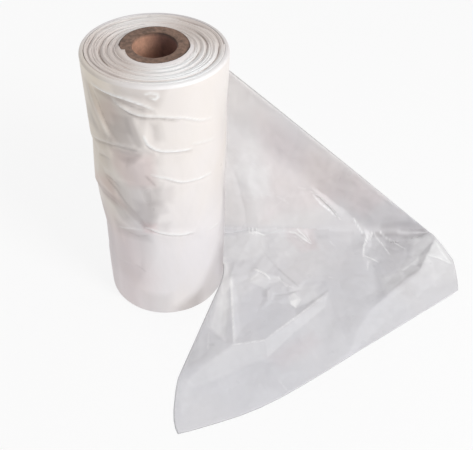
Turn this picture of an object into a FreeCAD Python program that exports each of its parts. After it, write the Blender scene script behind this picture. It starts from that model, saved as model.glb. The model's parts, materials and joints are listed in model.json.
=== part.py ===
# A roll of plastic bags on a thick paper core, standing on its end, with its
# leading bag drawn off and lying on the surface that the roll stands on.
#
# Frame: millimetres, +Z up along the core, origin at the centre of the bore
# in the plane that the roll stands on. The leading bag leaves the back of the
# roll, runs towards +X, and its mouth lies towards -Y.
import FreeCAD, Part
import math
import os
import Sketcher
from FreeCAD import Vector

SIZES = (
    ("bag_width", 200.0, "folded width of one bag, which is the height of the roll"),
    ("bore_diameter", 27.0, "hole of the paper core, for the spindle of a dispenser"),
    ("core_wall", 7.5, "wall of the paper core"),
    ("core_gap", 0.1, "play between the core and the first turn"),
    ("film_depth", 23.4, "wound film, from the first turn to the last"),
    ("inner_band", 2.2, "close turns between the core and the first gap"),
    ("outer_band", 1.7, "close turns outside the last gap, at the rim"),
    ("turn_pitch", 3.7, "one group of turns and the gap beside it"),
    ("turn_gap", 0.9, "width of the gap between two groups of turns"),
    ("turn_gap_depth", 1.6, "how far that gap can be seen into"),
    ("fold_depth", 1.5, "depth of the folds in the outer turns"),
    ("rim_round", 0.8, "rounding of the outer turns at both ends"),
    ("film_thickness", 0.5, "thickness that stands in for the two thin walls of a bag"),
    ("film_gap", 0.3, "play between the roll and the bag drawn off it"),
    ("leave_angle", 84.0, "where the bag leaves the roll, in degrees from +X"),
    ("release_angle", -25.0, "where the bag's lower edge leaves the foot of the roll"),
    ("upper_reach", 229.0, "from the roll to where the upper edge meets the ground"),
    ("lower_reach", 92.0, "lower edge, from the foot of the roll to the skirt"),
    ("near_skirt", 41.0, "skirt of the mouth, along the lower edge"),
    ("far_skirt", 61.0, "skirt of the mouth, along the upper edge"),
    ("far_bow", 9.0, "how far the skirt's far edge bows outwards"),
    ("mouth_bow", 13.0, "how far the edge of the mouth bows outwards"),
    ("gusset_drop", 46.0, "height of the folded gusset below the upper edge"),
    ("bend_radius", 6.0, "bend between the hanging and the lying part"),
    ("crease_height", 3.0, "height of the creases in the bag"),
)

# Folds pressed into the outer turns, each from one place to another. A place
# is an angle from +X and a share of the roll's height. Then come the share of
# fold_depth and the half width.
ROLL_FOLDS = (
    ((-160, 0.930), (-96, 0.905), 0.6, 6.0),
    ((-136, 0.965), (-96, 0.920), 0.4, 5.0),
    ((-104, 0.900), (-44, 0.855), 0.4, 6.0),
    ((-124, 0.930), (-112, 0.660), 1.0, 14.0),
    ((-106, 0.890), (-93, 0.780), 0.6, 7.0),
    ((-96, 0.785), (-40, 0.725), 0.5, 7.0),
    ((-90, 0.690), (-44, 0.640), 0.4, 6.0),
    ((-146, 0.620), (-104, 0.450), 0.8, 9.0),
    ((-101, 0.630), (-103, 0.490), 0.7, 10.0),
    ((-105, 0.435), (-50, 0.390), 0.6, 8.0),
    ((-165, 0.600), (-150, 0.300), 0.4, 12.0),
    ((20, 0.780), (75, 0.700), 0.6, 8.0),
    ((60, 0.350), (130, 0.480), 0.7, 10.0),
    ((115, 0.880), (165, 0.740), 0.6, 9.0),
)

# Heights of the cross-sections that the wound film is lofted through, as
# shares of the roll's height. They stand closest where the folds are.
SECTION_SHARES = (0.0, 0.01, 0.10, 0.22, 0.32, 0.39, 0.435, 0.48, 0.55, 0.62, 0.66,
                  0.70, 0.745, 0.785, 0.83, 0.87, 0.905, 0.935, 0.965, 0.99, 1.0)
SECTION_CORNERS = 48

# Creases in the bag drawn off, each from one place to another. A place is a
# share of the way along the bend and a share of the way from the bend to the
# mouth. Then come the share of crease_height and the half width.
BAG_CREASES = (
    ((0.29, 0.02), (0.25, 0.30), 0.8, 12.0),
    ((0.29, 0.02), (0.42, 0.45), 0.9, 12.0),
    ((0.30, 0.03), (0.62, 0.06), 0.6, 11.0),
    ((0.20, 0.40), (0.18, 0.72), 0.6, 11.0),
    ((0.18, 0.72), (0.55, 0.55), 1.0, 13.0),
    ((0.03, 0.76), (0.18, 0.72), 0.7, 12.0),
    ((0.78, 0.06), (0.72, 0.40), 0.9, 12.0),
    ((0.78, 0.06), (0.92, 0.14), 0.6, 10.0),
    ((0.99, 0.12), (0.86, 0.55), 1.0, 13.0),
    ((0.86, 0.55), (0.60, 0.96), 0.9, 13.0),
)

BAG_COLUMNS = 20       # strips of facets along the bend
FIRST_LYING = 3        # the column from which the bag lies on the ground
LAST_SHARE = 0.985     # where the last column stands along the upper edge
HANGING_ROWS = 4       # rows of facets from the upper edge down to the bend
BEND_ROWS = 3          # rows of facets round the bend
LYING_ROWS = 15        # rows of facets from the bend to the mouth

UP = Vector(0, 0, 1)
CORE_RADIUS = "(sizes.bore_diameter / 2 + sizes.core_wall)"

doc = FreeCAD.newDocument("bags_on_a_roll")
sheet = doc.addObject("Spreadsheet::Sheet", "sizes")
for line, (alias, value, meaning) in enumerate(SIZES, start=1):
    sheet.set("A%d" % line, meaning)
    sheet.set("B%d" % line, str(value))
    sheet.setAlias("B%d" % line, alias)
doc.recompute()


def size(alias):
    """One driving dimension, read from the sheet."""
    return float(sheet.get(alias))


def outward(angle):
    """The direction from the roll's axis to the given angle, in degrees."""
    return Vector(math.cos(math.radians(angle)), math.sin(math.radians(angle)), 0)


def unwinding(angle):
    """The direction in which film runs off the roll at the given angle."""
    return Vector(math.sin(math.radians(angle)), -math.cos(math.radians(angle)), 0)


def between(start, end, share):
    """The place that lies the given share of the way from start to end."""
    return start + (end - start) * share


def nearness(place, start, end, half_width):
    """1 on the line from start to end, falling evenly to 0 at half_width."""
    run = end - start
    share = (place - start).dot(run) / run.dot(run)
    foot = start + run * min(1.0, max(0.0, share))
    return max(0.0, 1.0 - (place - foot).Length / half_width)


core_radius = size("bore_diameter") / 2 + size("core_wall")
roll_radius = core_radius + size("core_gap") + size("film_depth")


# ---- the paper core ---------------------------------------------------------

def add_core():
    """A thick-walled tube: a ring, padded to the full height of the roll."""
    body = doc.addObject("PartDesign::Body", "core")
    ground = [plane for plane in body.Origin.OriginFeatures if plane.Role == "XY_Plane"][0]
    ring = body.newObject("Sketcher::SketchObject", "core_ring")
    ring.AttachmentSupport = (ground, [""])
    ring.MapMode = "FlatFace"
    diameters = (("outside", 2 * core_radius, "2 * " + CORE_RADIUS),
                 ("bore", size("bore_diameter"), "sizes.bore_diameter"))
    for name, diameter, rule in diameters:
        circle = ring.addGeometry(Part.Circle(Vector(0, 0, 0), UP, diameter / 2), False)
        ring.addConstraint(Sketcher.Constraint("Coincident", circle, 3, -1, 1))
        place = ring.addConstraint(Sketcher.Constraint("Diameter", circle, diameter))
        ring.renameConstraint(place, name)
        ring.setExpression("Constraints." + name, rule)
    tube = body.newObject("PartDesign::Pad", "core_tube")
    tube.Profile = ring
    tube.setExpression("Length", "sizes.bag_width")
    return body


# ---- the wound bags ---------------------------------------------------------

def fold_inset(angle, share):
    """How far the folds push the outer turns in at one place on the roll."""
    inset = 0.0
    for start, end, depth, half_width in ROLL_FOLDS:
        flat = [Vector(math.radians(turn) * roll_radius, height * size("bag_width"), 0)
                for turn, height in ((angle, share), start, end)]
        inset = max(inset, depth * nearness(*flat, half_width))
    return inset * size("fold_depth")


def add_section(number, share):
    """A closed cross-section of the wound film at one share of its height."""
    at_the_rim = share in (SECTION_SHARES[0], SECTION_SHARES[-1])
    corners = []
    for step in range(SECTION_CORNERS):
        angle = -180 + 360 * step / SECTION_CORNERS
        radius = roll_radius - fold_inset(angle, share)
        radius -= size("rim_round") if at_the_rim else 0.0
        corners.append(outward(angle) * radius + UP * share * size("bag_width"))
    section = doc.addObject("Part::Feature", "section_%02d" % number)
    section.Shape = Part.makePolygon(corners + [corners[0]])
    return section


def spiral(first_radius, half_turns):
    """Half circles that grow outwards, clockwise as seen from above."""
    growth = size("turn_pitch") / 2
    arcs = []
    for turn in range(half_turns):
        side = 1 if turn % 2 == 0 else -1
        start = first_radius + turn * growth
        middle = Vector(-side * growth / 2, -side * (start + growth / 2), 0)
        arc = Part.Arc(Vector(side * start, 0, 0), middle, Vector(-side * (start + growth), 0, 0))
        arcs.append(arc.toShape())
    return arcs


def add_gap_outline():
    """The gap between groups of turns, drawn flat as a spiral band."""
    first_radius = core_radius + size("core_gap") + size("inner_band")
    room = roll_radius - size("rim_round") - size("outer_band") - size("turn_gap") - first_radius
    half_turns = int(room / (size("turn_pitch") / 2))
    inner = spiral(first_radius, half_turns)
    outer = spiral(first_radius + size("turn_gap"), half_turns)
    ends = [Part.makeLine(inner[0].Vertexes[0].Point, outer[0].Vertexes[0].Point),
            Part.makeLine(inner[-1].Vertexes[-1].Point, outer[-1].Vertexes[-1].Point)]
    outline = doc.addObject("Part::Feature", "gap_outline")
    outline.Shape = Part.Face(Part.Wire(Part.__sortEdges__(inner + outer + ends)))
    return outline


def add_turn_gap(end, outline, height_rule):
    """The gap at one end of the roll, as deep as it can be seen into."""
    gap = doc.addObject("Part::Extrusion", end + "_gap")
    gap.Base = outline
    gap.DirMode = "Custom"
    gap.Dir = UP
    gap.setExpression("LengthFwd", "sizes.turn_gap_depth")
    gap.setExpression("Placement.Base.z", height_rule)
    return gap


def add_cut(name, base, tool):
    """One piece of film with a hole or a gap taken out of it."""
    cut = doc.addObject("Part::Cut", name)
    cut.Base = base
    cut.Tool = tool
    return cut


def add_bag_roll():
    """The turns as one solid: lofted, bored for the core, open at both ends."""
    film = doc.addObject("Part::Loft", "wound_film")
    film.Sections = [add_section(*place) for place in enumerate(SECTION_SHARES)]
    film.Solid = True
    film.Ruled = True
    hole = doc.addObject("Part::Cylinder", "core_hole")
    hole.setExpression("Radius", CORE_RADIUS + " + sizes.core_gap")
    hole.setExpression("Height", "sizes.bag_width")
    bored = add_cut("bored_film", film, hole)
    outline = add_gap_outline()
    top_gap = add_turn_gap("top", outline, "sizes.bag_width - sizes.turn_gap_depth")
    opened = add_cut("film_open_above", bored, top_gap)
    return add_cut("bag_roll", opened, add_turn_gap("foot", outline, "0 mm"))


# ---- the leading bag --------------------------------------------------------

into_roll = outward(size("leave_angle")) * -1
along = unwinding(size("leave_angle"))
leaves_roll = into_roll * -(roll_radius + size("film_gap") + size("film_thickness"))
ground_reach = size("upper_reach") * LAST_SHARE
landing = leaves_roll + along * ground_reach
foot_radius = roll_radius + 2 * size("film_gap")
release = outward(size("release_angle")) * foot_radius
near_corner = release + unwinding(size("release_angle")) * size("lower_reach")
mouth_near = near_corner + Vector(0, -size("near_skirt"), 0)
mouth_far = landing + Vector(0, -size("far_skirt"), 0)
first_share = LAST_SHARE * FIRST_LYING / BAG_COLUMNS


def upper_edge_height(share):
    """Height of the bag's upper edge at a share of the way to the ground."""
    return size("bag_width") * (1.0 - share)


def bend_size(share):
    """Radius of the bend, which shrinks where the upper edge comes down."""
    return min(size("bend_radius"), upper_edge_height(share) / 2)


def bend_line(share):
    """Where the bag comes to lie flat, in front of its hanging part."""
    return leaves_roll + along * size("upper_reach") * share + into_roll * bend_size(share)


def bowed(start, end, share, bow):
    """A place on an edge that bows to the left of the way from start to end."""
    run = end - start
    aside = Vector(-run.y, run.x, 0) / run.Length
    return between(start, end, share) + aside * bow * 4 * share * (1 - share)


def lower_edge(share):
    """A place on the lower edge: round the foot of the roll, then straight."""
    start = bend_line(first_share)
    meets = math.degrees(math.acos(start.x / foot_radius))
    stretches = (
        (start - outward(meets) * foot_radius).Length,
        math.radians(meets - size("release_angle")) * foot_radius,
        size("lower_reach"),
        size("near_skirt"),
    )
    way = share * sum(stretches)
    if way < stretches[0]:
        return between(start, outward(meets) * foot_radius, way / stretches[0])
    way -= stretches[0]
    if way < stretches[1]:
        return outward(meets - math.degrees(way / foot_radius)) * foot_radius
    way -= stretches[1]
    if way < stretches[2]:
        return between(release, near_corner, way / stretches[2])
    return between(near_corner, mouth_near, (way - stretches[2]) / stretches[3])


def lying_place(across, forward):
    """A place on the ground, between the four edges of the lying part."""
    share = first_share + (LAST_SHARE - first_share) * across
    far_edge = bowed(bend_line(LAST_SHARE), mouth_far, forward, size("far_bow"))
    mouth = bowed(mouth_near, mouth_far, across, -size("mouth_bow"))
    corners = between(
        between(bend_line(first_share), bend_line(LAST_SHARE), across),
        between(mouth_near, mouth_far, across), forward)
    sides = between(lower_edge(forward), far_edge, across)
    return sides + between(bend_line(share), mouth, forward) - corners


def crease_lift(place):
    """How far the creases lift the bag at one place on the ground."""
    lift = 0.0
    for start, end, height, half_width in BAG_CREASES:
        line_ends = (lying_place(*start), lying_place(*end))
        lift = max(lift, height * nearness(place, *line_ends, half_width))
    return lift * size("crease_height")


def hanging_point(share, row):
    """A place on the hanging part and the way its face looks."""
    top = upper_edge_height(share)
    bottom = bend_size(share)
    levels = [top, top - min(size("gusset_drop"), 0.55 * (top - bottom))]
    for step in range(1, HANGING_ROWS):
        levels.append(between(levels[1], bottom, step / (HANGING_ROWS - 1)))
    foot = leaves_roll + along * size("upper_reach") * share
    return foot + UP * levels[row], into_roll


def bend_point(share, row):
    """A place on the bend and the way its face looks.

    Beside the roll the bag can't come forward, so there it stands straight.
    """
    turn = math.radians(90 * row / BEND_ROWS)
    radius = bend_size(share)
    foot = leaves_roll + along * size("upper_reach") * share
    bent = foot + into_roll * radius * (1 - math.cos(turn)) + UP * radius * (1 - math.sin(turn))
    straight = foot + UP * radius * (1 - row / BEND_ROWS)
    if share < first_share:
        return straight, into_roll
    return bent, into_roll * math.cos(turn) + UP * math.sin(turn)


def lying_point(share, row):
    """A place on the lying part and the way its face looks."""
    across = max(0.0, (share - first_share) / (LAST_SHARE - first_share))
    place = lying_place(across, row / LYING_ROWS)
    return place + UP * crease_lift(place), UP


def bag_grid():
    """Columns of (place, look) pairs, each from the upper edge to the mouth."""
    rows = [(hanging_point, row) for row in range(HANGING_ROWS)]
    rows += [(bend_point, row) for row in range(BEND_ROWS)]
    rows += [(lying_point, row) for row in range(LYING_ROWS + 1)]
    shares = [LAST_SHARE * column / BAG_COLUMNS for column in range(BAG_COLUMNS + 1)]
    return [[make(share, row) for make, row in rows] for share in shares]


def bag_cells():
    """The cells of the grid that are film: none lies ahead of the roll."""
    last_standing_row = HANGING_ROWS + BEND_ROWS
    cells = []
    for column in range(BAG_COLUMNS):
        last_row = last_standing_row + LYING_ROWS
        if column < FIRST_LYING:
            last_row = last_standing_row - 1
        cells += [(column, row) for row in range(last_row)]
    return cells


def facet(*corners):
    """A flat three-cornered face."""
    return Part.Face(Part.makePolygon(list(corners) + [corners[0]]))


def sheet_solid(grid, cells, thickness):
    """A solid film between a grid of places and the same grid, one wall on."""
    near = [[place + look * thickness for place, look in column] for column in grid]
    far = [[place for place, look in column] for column in grid]
    faces = []
    borders = {}
    for column, row in cells:
        ring = [(column, row), (column + 1, row), (column + 1, row + 1), (column, row + 1)]
        for side in (near, far):
            a, b, c, d = [side[i][j] for i, j in ring]
            faces += [facet(a, b, c), facet(a, c, d)]
        for start, end in zip(ring, ring[1:] + ring[:1]):
            if (end, start) in borders:
                del borders[(end, start)]
            else:
                borders[(start, end)] = True
    for (i, j), (k, n) in borders:
        faces += [facet(near[i][j], near[k][n], far[k][n]), facet(near[i][j], far[k][n], far[i][j])]
    shell = Part.makeShell(faces)
    shell.sewShape()
    solid = Part.makeSolid(shell)
    if solid.Volume < 0:
        solid.reverse()
    return solid


def add_leading_bag():
    """The bag drawn off the roll: it hangs from its upper edge, then lies flat."""
    bag = doc.addObject("Part::Feature", "leading_bag")
    bag.Shape = sheet_solid(bag_grid(), bag_cells(), size("film_thickness"))
    return bag


# ---- build, check and write -------------------------------------------------

pieces = [add_core(), add_bag_roll(), add_leading_bag()]
doc.recompute()

for item in doc.Objects:
    if "Invalid" in item.State or "Error" in item.State:
        raise RuntimeError("%s could not be built: %s" % (item.Name, item.State))

os.makedirs("parts", exist_ok=True)
for piece in pieces:
    if piece.Shape.isNull() or not piece.Shape.isValid() or len(piece.Shape.Solids) != 1:
        raise RuntimeError(piece.Label + " is not one sound solid")
    piece.Shape.exportStep("parts/%s.step" % piece.Label)
    print(piece.Label, "%.0f mm3" % piece.Shape.Volume, piece.Shape.BoundBox)
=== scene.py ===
# %% [markdown]
# # A roll of thin plastic bags, with the leading bag drawn off
#
# The roll is three real pieces: a thick paper core, the bags wound on it, and
# the leading bag, which is drawn off to the side and lies on the ground. The
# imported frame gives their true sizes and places. This lesson dresses them:
# board for the core, milky film for the turns, and a thin translucent sheet
# with its gussets and creases for the leading bag.

# %% Load the frame
import json
import math

import bpy
import numpy as np
from mathutils import Matrix, Vector, noise
from mathutils.geometry import delaunay_2d_cdt


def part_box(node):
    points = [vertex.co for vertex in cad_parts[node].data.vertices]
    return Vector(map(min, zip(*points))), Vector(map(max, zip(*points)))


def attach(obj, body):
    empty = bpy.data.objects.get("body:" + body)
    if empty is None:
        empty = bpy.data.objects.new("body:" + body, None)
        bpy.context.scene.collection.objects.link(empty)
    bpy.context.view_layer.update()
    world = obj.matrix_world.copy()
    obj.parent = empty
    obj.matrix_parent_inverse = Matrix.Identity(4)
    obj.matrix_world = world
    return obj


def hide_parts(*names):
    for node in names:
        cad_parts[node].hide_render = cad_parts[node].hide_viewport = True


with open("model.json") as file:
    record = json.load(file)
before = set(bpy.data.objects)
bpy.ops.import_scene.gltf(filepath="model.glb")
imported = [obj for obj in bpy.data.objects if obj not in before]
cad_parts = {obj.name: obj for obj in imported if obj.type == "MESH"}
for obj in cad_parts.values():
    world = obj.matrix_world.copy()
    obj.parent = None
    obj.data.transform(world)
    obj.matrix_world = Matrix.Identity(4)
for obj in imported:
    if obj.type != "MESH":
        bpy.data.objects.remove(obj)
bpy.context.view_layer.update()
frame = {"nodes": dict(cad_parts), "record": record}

print("CAD nodes:", sorted(frame["nodes"]))

# %% [markdown]
# ## Sizes
#
# Every size comes from the frame where the frame has it. Only what a solid
# can't tell is written here: the angles at which the film leaves the roll and
# how far it runs. Lengths are millimetres in this script, and a mesh is
# turned to metres when it is made.

# %% Sizes
MM = 0.001


def highest(node):
    """Highest corner of a CAD node's box, in millimetres."""
    return np.array(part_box(node)[1]) / MM


bore = next(mount for mount in frame["record"]["mounts"] if mount["name"] == "core_bore")
ROLL_RADIUS, _, BAG_WIDTH = highest("bag_roll")
CORE_RADIUS = highest("core")[0]
BORE_RADIUS = bore["dims"]["r_mm"]

LEAVE_ANGLE = math.radians(84)      # where the bag leaves the roll, from +X
RELEASE_ANGLE = math.radians(-25)   # where its lower edge leaves the roll's foot
FILM_GAP = 0.3                      # play between the roll and the bag
UPPER_REACH = 229.0                 # from the roll to where the upper edge lands
LOWER_REACH = 92.0                  # lower edge, from the roll to its near corner
LAST_SHARE = 0.992                  # where the upper edge meets the ground
FIRST_SHARE = LAST_SHARE * 3 / 20   # from here on the bag lies on the ground
FILM_WALL = 0.5                     # room for both walls of the bag
print("Roll %.0f mm wide, %.0f mm high" % (2 * ROLL_RADIUS, BAG_WIDTH))

# %% [markdown]
# ## Meshes from rows of points
#
# Film is a surface that follows a rule, so each piece of it is worked out as
# a grid of points with numpy, and the grid is filled with four-sided faces.
# One helper does that for every piece. Its faces wind the same way round, so
# a grid that is laid out well needs no normals recalculated afterwards.


# %% Make a piece from a grid
def add_object(name, mesh):
    """Put a mesh in the scene, at the origin, with smooth shading."""
    mesh.shade_smooth()
    piece = bpy.data.objects.new(name, mesh)
    bpy.context.scene.collection.objects.link(piece)
    return piece


def grid_faces(columns, rows, first=0, round_columns=False, turned=False):
    """Faces over a grid stored column by column; its rows close up into a ring."""
    column, row = np.meshgrid(np.arange(columns if round_columns else columns - 1),
                              np.arange(rows), indexing="ij")
    beyond, above = (column + 1) % columns, (row + 1) % rows
    ring = [column * rows + row, beyond * rows + row, beyond * rows + above, column * rows + above]
    if turned:
        ring.reverse()
    return np.stack(ring, axis=-1).reshape(-1, 4) + first


def mesh_from(name, points, faces):
    """A mesh from points in millimetres and a list or array of faces."""
    mesh = bpy.data.meshes.new(name)
    faces = faces.tolist() if isinstance(faces, np.ndarray) else faces
    mesh.from_pydata((points * MM).tolist(), [], faces)
    mesh.validate()
    return mesh


def mesh_points(mesh):
    """The corners of a mesh, in millimetres."""
    return np.array([corner.co for corner in mesh.vertices]) / MM


def keep_values(mesh, **values):
    """Store numbers for each point, by name, for a material to read."""
    for label, numbers in values.items():
        layer = mesh.attributes.new(label, "FLOAT", "POINT")
        layer.data.foreach_set("value", np.asarray(numbers, dtype=np.float32).reshape(-1))


def on_circle(angle, radius=1.0):
    """A place on the ground, or places, at an angle and a distance from the roll's axis."""
    return np.stack([radius * np.cos(angle), radius * np.sin(angle)], axis=-1)


# %% [markdown]
# ## Creases
#
# Thin film can't stretch, so when it crumples it stays flat between sharp
# creases. A noise texture makes soft hills instead, and looks like dough.
# Here the ends and corners of the creases are marked with their heights,
# Blender's Delaunay helper spans flat triangles between them, and every point
# of the grid is lifted onto its triangle. Averaging a few nearby places
# gives each crease the small round that real film has.

# %% Flat facets between marked places
FACET_TAPS = 6          # nearby places that each height is averaged over
EDGE_PLAY = 1e-6        # a place this close outside a triangle still counts as inside
NO_AREA = 1e-9
MERGE_DISTANCE = 1e-4   # marks closer than this are one


def plain_facets(places, marks, triangles):
    """Height at each place on the flat triangles that the marks span."""
    heights = np.zeros(len(places))
    for triangle in triangles:
        a, b, c = marks[triangle]
        (ux, uy), (vx, vy) = (b - a)[:2], (c - a)[:2]
        area = ux * vy - uy * vx
        if abs(area) < NO_AREA:
            continue
        px, py = places[:, 0] - a[0], places[:, 1] - a[1]
        along_u = (px * vy - py * vx) / area
        along_v = (ux * py - uy * px) / area
        inside = np.minimum(np.minimum(along_u, along_v), 1 - along_u - along_v) >= -EDGE_PLAY
        height = a[2] + along_u * (b[2] - a[2]) + along_v * (c[2] - a[2])
        heights[inside] = height[inside]
    return heights


def faceted(places, lines, softness):
    """Heights on facets whose creases run along the given lines of marks."""
    corners, edges = [], []
    for line in lines:
        edges += [(len(corners) + step, len(corners) + step + 1) for step in range(len(line) - 1)]
        corners += [tuple(map(float, mark)) for mark in line]
    flat = [Vector(corner[:2]) for corner in corners]
    found, _, triangles, origins, _, _ = delaunay_2d_cdt(flat, edges, [], 0, MERGE_DISTANCE)
    marks = np.zeros((len(found), 3))
    for number, place in enumerate(found):
        marks[number, :2] = place
        if origins[number]:
            marks[number, 2] = corners[origins[number][0]][2]
        else:
            near = min(corners, key=lambda corner: (place - Vector(corner[:2])).length)
            marks[number, 2] = near[2]
    turns = 2 * math.pi * np.arange(FACET_TAPS) / FACET_TAPS
    return sum(plain_facets(places + softness * shift, marks, triangles)
               for shift in on_circle(turns)) / FACET_TAPS


def to_stretch(places, start, end):
    """For each place, the nearest share of the way from start to end, and how far off it is."""
    run = end - start
    share = np.clip((places - start) @ run / (run @ run), 0, 1)
    return share, np.linalg.norm(places - start - share[:, None] * run, axis=1)


def lengths_before(places):
    """The way along a line up to each of its places."""
    return np.concatenate([[0], np.cumsum(np.linalg.norm(np.diff(places, axis=0), axis=1))])


def along_line(places, share):
    """Places at shares of the way along a line."""
    places = np.array(places, float)
    lengths = lengths_before(places)
    way = np.atleast_1d(share) * lengths[-1]
    return np.stack([np.interp(way, lengths, places[:, axis]) for axis in (0, 1)], axis=-1)


def line_mask(places, line, half_width, broken=0.0):
    """Near 1 on a line of marks, fading to its sides and both ends; it can be broken."""
    marks = np.array(line, float)[:, :2]
    before = lengths_before(marks)
    mask = np.zeros(len(places))
    for start, end, begun, reached in zip(marks, marks[1:], before, before[1:]):
        share, gap = to_stretch(places, start, end)
        way = begun + share * (reached - begun)
        fade = np.clip(np.minimum(way, before[-1] - way) * 5 / before[-1], 0, 1) ** 0.5
        fade *= 1 - broken * (0.5 + 0.3 * np.sin(way * 1.1 + marks[0, 0])
                              + 0.2 * np.sin(way * 2.7 + marks[0, 1]))
        mask = np.maximum(mask, fade * np.clip(1 - gap / half_width, 0, 1) ** 1.3)
    return mask


def patch_mask(places, corners, softness):
    """1 inside a patch, 0 outside, with soft edges."""
    corners = np.array(corners, float)
    x, y = places.T
    inside = np.zeros(len(places), bool)
    nearest = np.full(len(places), np.inf)
    for start, end in zip(corners, np.roll(corners, -1, axis=0)):
        nearest = np.minimum(nearest, to_stretch(places, start, end)[1])
        spans = (start[1] > y) != (end[1] > y)
        with np.errstate(divide="ignore", invalid="ignore"):
            crossing = start[0] + (y - start[1]) / (end[1] - start[1]) * (end[0] - start[0])
        inside ^= spans & (x < crossing)
    return np.clip(0.5 + np.where(inside, nearest, -nearest) / softness, 0, 1)


print("Facets are averaged over", FACET_TAPS, "nearby places")

# %% [markdown]
# ## Camera
#
# The camera looks down on the roll from in front, close by, so that the top
# of the roll shows as an ellipse and the bag spreads towards the viewer. Its
# axes are worked out from three angles: how far it turns, how far it looks
# down, and how far it is tilted.

# %% Camera
CAMERA_PLACE = Vector((0.0, -0.3371, 0.3826))
CAMERA_TURN, CAMERA_DOWN, CAMERA_TILT = 0.160, 0.7777, 0.0500
FOCAL_LENGTH, SENSOR_WIDTH = 46.96, 36

forward = Vector((math.sin(CAMERA_TURN) * math.cos(CAMERA_DOWN),
                  math.cos(CAMERA_TURN) * math.cos(CAMERA_DOWN),
                  -math.sin(CAMERA_DOWN)))
level = Vector((math.cos(CAMERA_TURN), -math.sin(CAMERA_TURN), 0))
upward = level.cross(forward)
right = math.cos(CAMERA_TILT) * level + math.sin(CAMERA_TILT) * upward
top = math.cos(CAMERA_TILT) * upward - math.sin(CAMERA_TILT) * level

lens = bpy.data.cameras.new("camera")
lens.lens = FOCAL_LENGTH
lens.sensor_width = SENSOR_WIDTH
camera = bpy.data.objects.new("camera", lens)
camera.matrix_world = Matrix((right, top, -forward)).transposed().to_4x4()
camera.location = CAMERA_PLACE
bpy.context.scene.collection.objects.link(camera)
bpy.context.scene.camera = camera
print("Camera looks along", tuple(round(part, 3) for part in forward))

# %% [markdown]
# ## Nodes that read like formulas
#
# Materials and Geometry Nodes are built from the same small parts, so their
# helpers come first. A Wire is an output of a node. Plain arithmetic on a
# wire adds Math nodes to its tree, so a tree can be written as the formula
# that it stands for.


# %% Wires and nodes
class Wire:
    """An output of a node that arithmetic can be written with."""

    def __init__(self, node, output=0):
        self.tree, self.socket = node.id_data, node.outputs[output]

    def math(self, operation, *others):
        """A Math node on this wire and on other wires or numbers."""
        return math_wire(self.tree, operation, self, *others)

    def scaled(self, factor, plus):
        """This wire times a factor, plus an amount."""
        return self.math("MULTIPLY_ADD", factor, plus)

    def __add__(self, other):
        return self.math("ADD", other)

    def __sub__(self, other):
        return self.math("SUBTRACT", other)

    def __rsub__(self, other):
        return math_wire(self.tree, "SUBTRACT", other, self)

    def __mul__(self, other):
        return self.math("MULTIPLY", other)

    def __truediv__(self, other):
        return self.math("DIVIDE", other)


def set_inputs(node, inputs):
    """Link inputs of a node to wires, or set them to plain values."""
    for label, value in inputs.items():
        if isinstance(value, Wire):
            node.id_data.links.new(value.socket, node.inputs[label])
        else:
            node.inputs[label].default_value = value


def add_node(tree, kind, inputs=None, **settings):
    """A node with its properties set by name, and its inputs by name or number."""
    node = tree.nodes.new(kind)
    for label, value in settings.items():
        setattr(node, label, value)
    set_inputs(node, inputs or {})
    return node


def math_wire(tree, operation, *operands):
    """A Math node fed by wires or plain numbers."""
    return Wire(add_node(tree, "ShaderNodeMath", dict(enumerate(operands)), operation=operation))


def noise_wire(tree, scale, detail=2.0, distortion=0.0, dimensions="3D", **places):
    """A noise texture; its Vector, W or both are given by name."""
    return Wire(add_node(tree, "ShaderNodeTexNoise",
                         {**places, "Scale": scale, "Detail": detail, "Distortion": distortion},
                         noise_dimensions=dimensions), "Fac")


def ranged(wire, low, high, new_low, new_high):
    """A wire moved from one range to another."""
    return Wire(add_node(wire.tree, "ShaderNodeMapRange",
                         {"Value": wire, "From Min": low, "From Max": high,
                          "To Min": new_low, "To Max": new_high}), "Result")


def mixed(factor, first, second, blend="MIX"):
    """Two colours mixed, or the first one multiplied by the second."""
    return Wire(add_node(factor.tree, "ShaderNodeMix",
                         {"Factor": factor, "A": first, "B": second},
                         data_type="RGBA", blend_type=blend), "Result")


def mix_shaders(share, first, second, output):
    """Feed an output node with two shaders, mixed by a share."""
    both = add_node(share.tree, "ShaderNodeMixShader", {"Fac": share, 1: first, 2: second})
    set_inputs(share.tree.nodes[output], {"Surface": Wire(both)})


def stretched(tree, *scale):
    """Object coordinates stretched along the axes."""
    place = Wire(add_node(tree, "ShaderNodeTexCoord"), "Object")
    return Wire(add_node(tree, "ShaderNodeMapping", {"Vector": place, "Scale": scale}), "Vector")


def kept_value(tree, label):
    """A value that is kept on the mesh."""
    return Wire(add_node(tree, "ShaderNodeAttribute", attribute_name=label), "Fac")


def seen_share(tree, share):
    """The share for rays that are seen, straight or mirrored or through glass; else 0."""
    rays = add_node(tree, "ShaderNodeLightPath")
    seen = Wire(rays, "Is Camera Ray")
    for label in ("Is Glossy Ray", "Is Transmission Ray"):
        seen = seen.math("MAXIMUM", Wire(rays, label))
    return seen * share


def new_look(name):
    """A material, its tree and its shader."""
    look = bpy.data.materials.new(name)
    look.use_nodes = True
    return look, look.node_tree, look.node_tree.nodes["Principled BSDF"]


SOCKETS = {float: "NodeSocketFloat", tuple: "NodeSocketColor", type(None): "NodeSocketMaterial"}


def start_group(name, tree_kind, inputs, **outputs):
    """A group of nodes: its tree, its inputs as wires, and its output node."""
    tree = bpy.data.node_groups.new(name, tree_kind)
    for label, value in inputs.items():
        socket = tree.interface.new_socket(label, in_out="INPUT", socket_type=SOCKETS[type(value)])
        if value is not None:
            socket.default_value = value
    for label, kind in outputs.items():
        tree.interface.new_socket(label, in_out="OUTPUT", socket_type="NodeSocket" + kind)
    entry = tree.nodes.new("NodeGroupInput")
    return tree, {label: Wire(entry, label) for label in inputs}, tree.nodes.new("NodeGroupOutput")


print("Kinds of input:", ", ".join(SOCKETS.values()))

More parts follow.
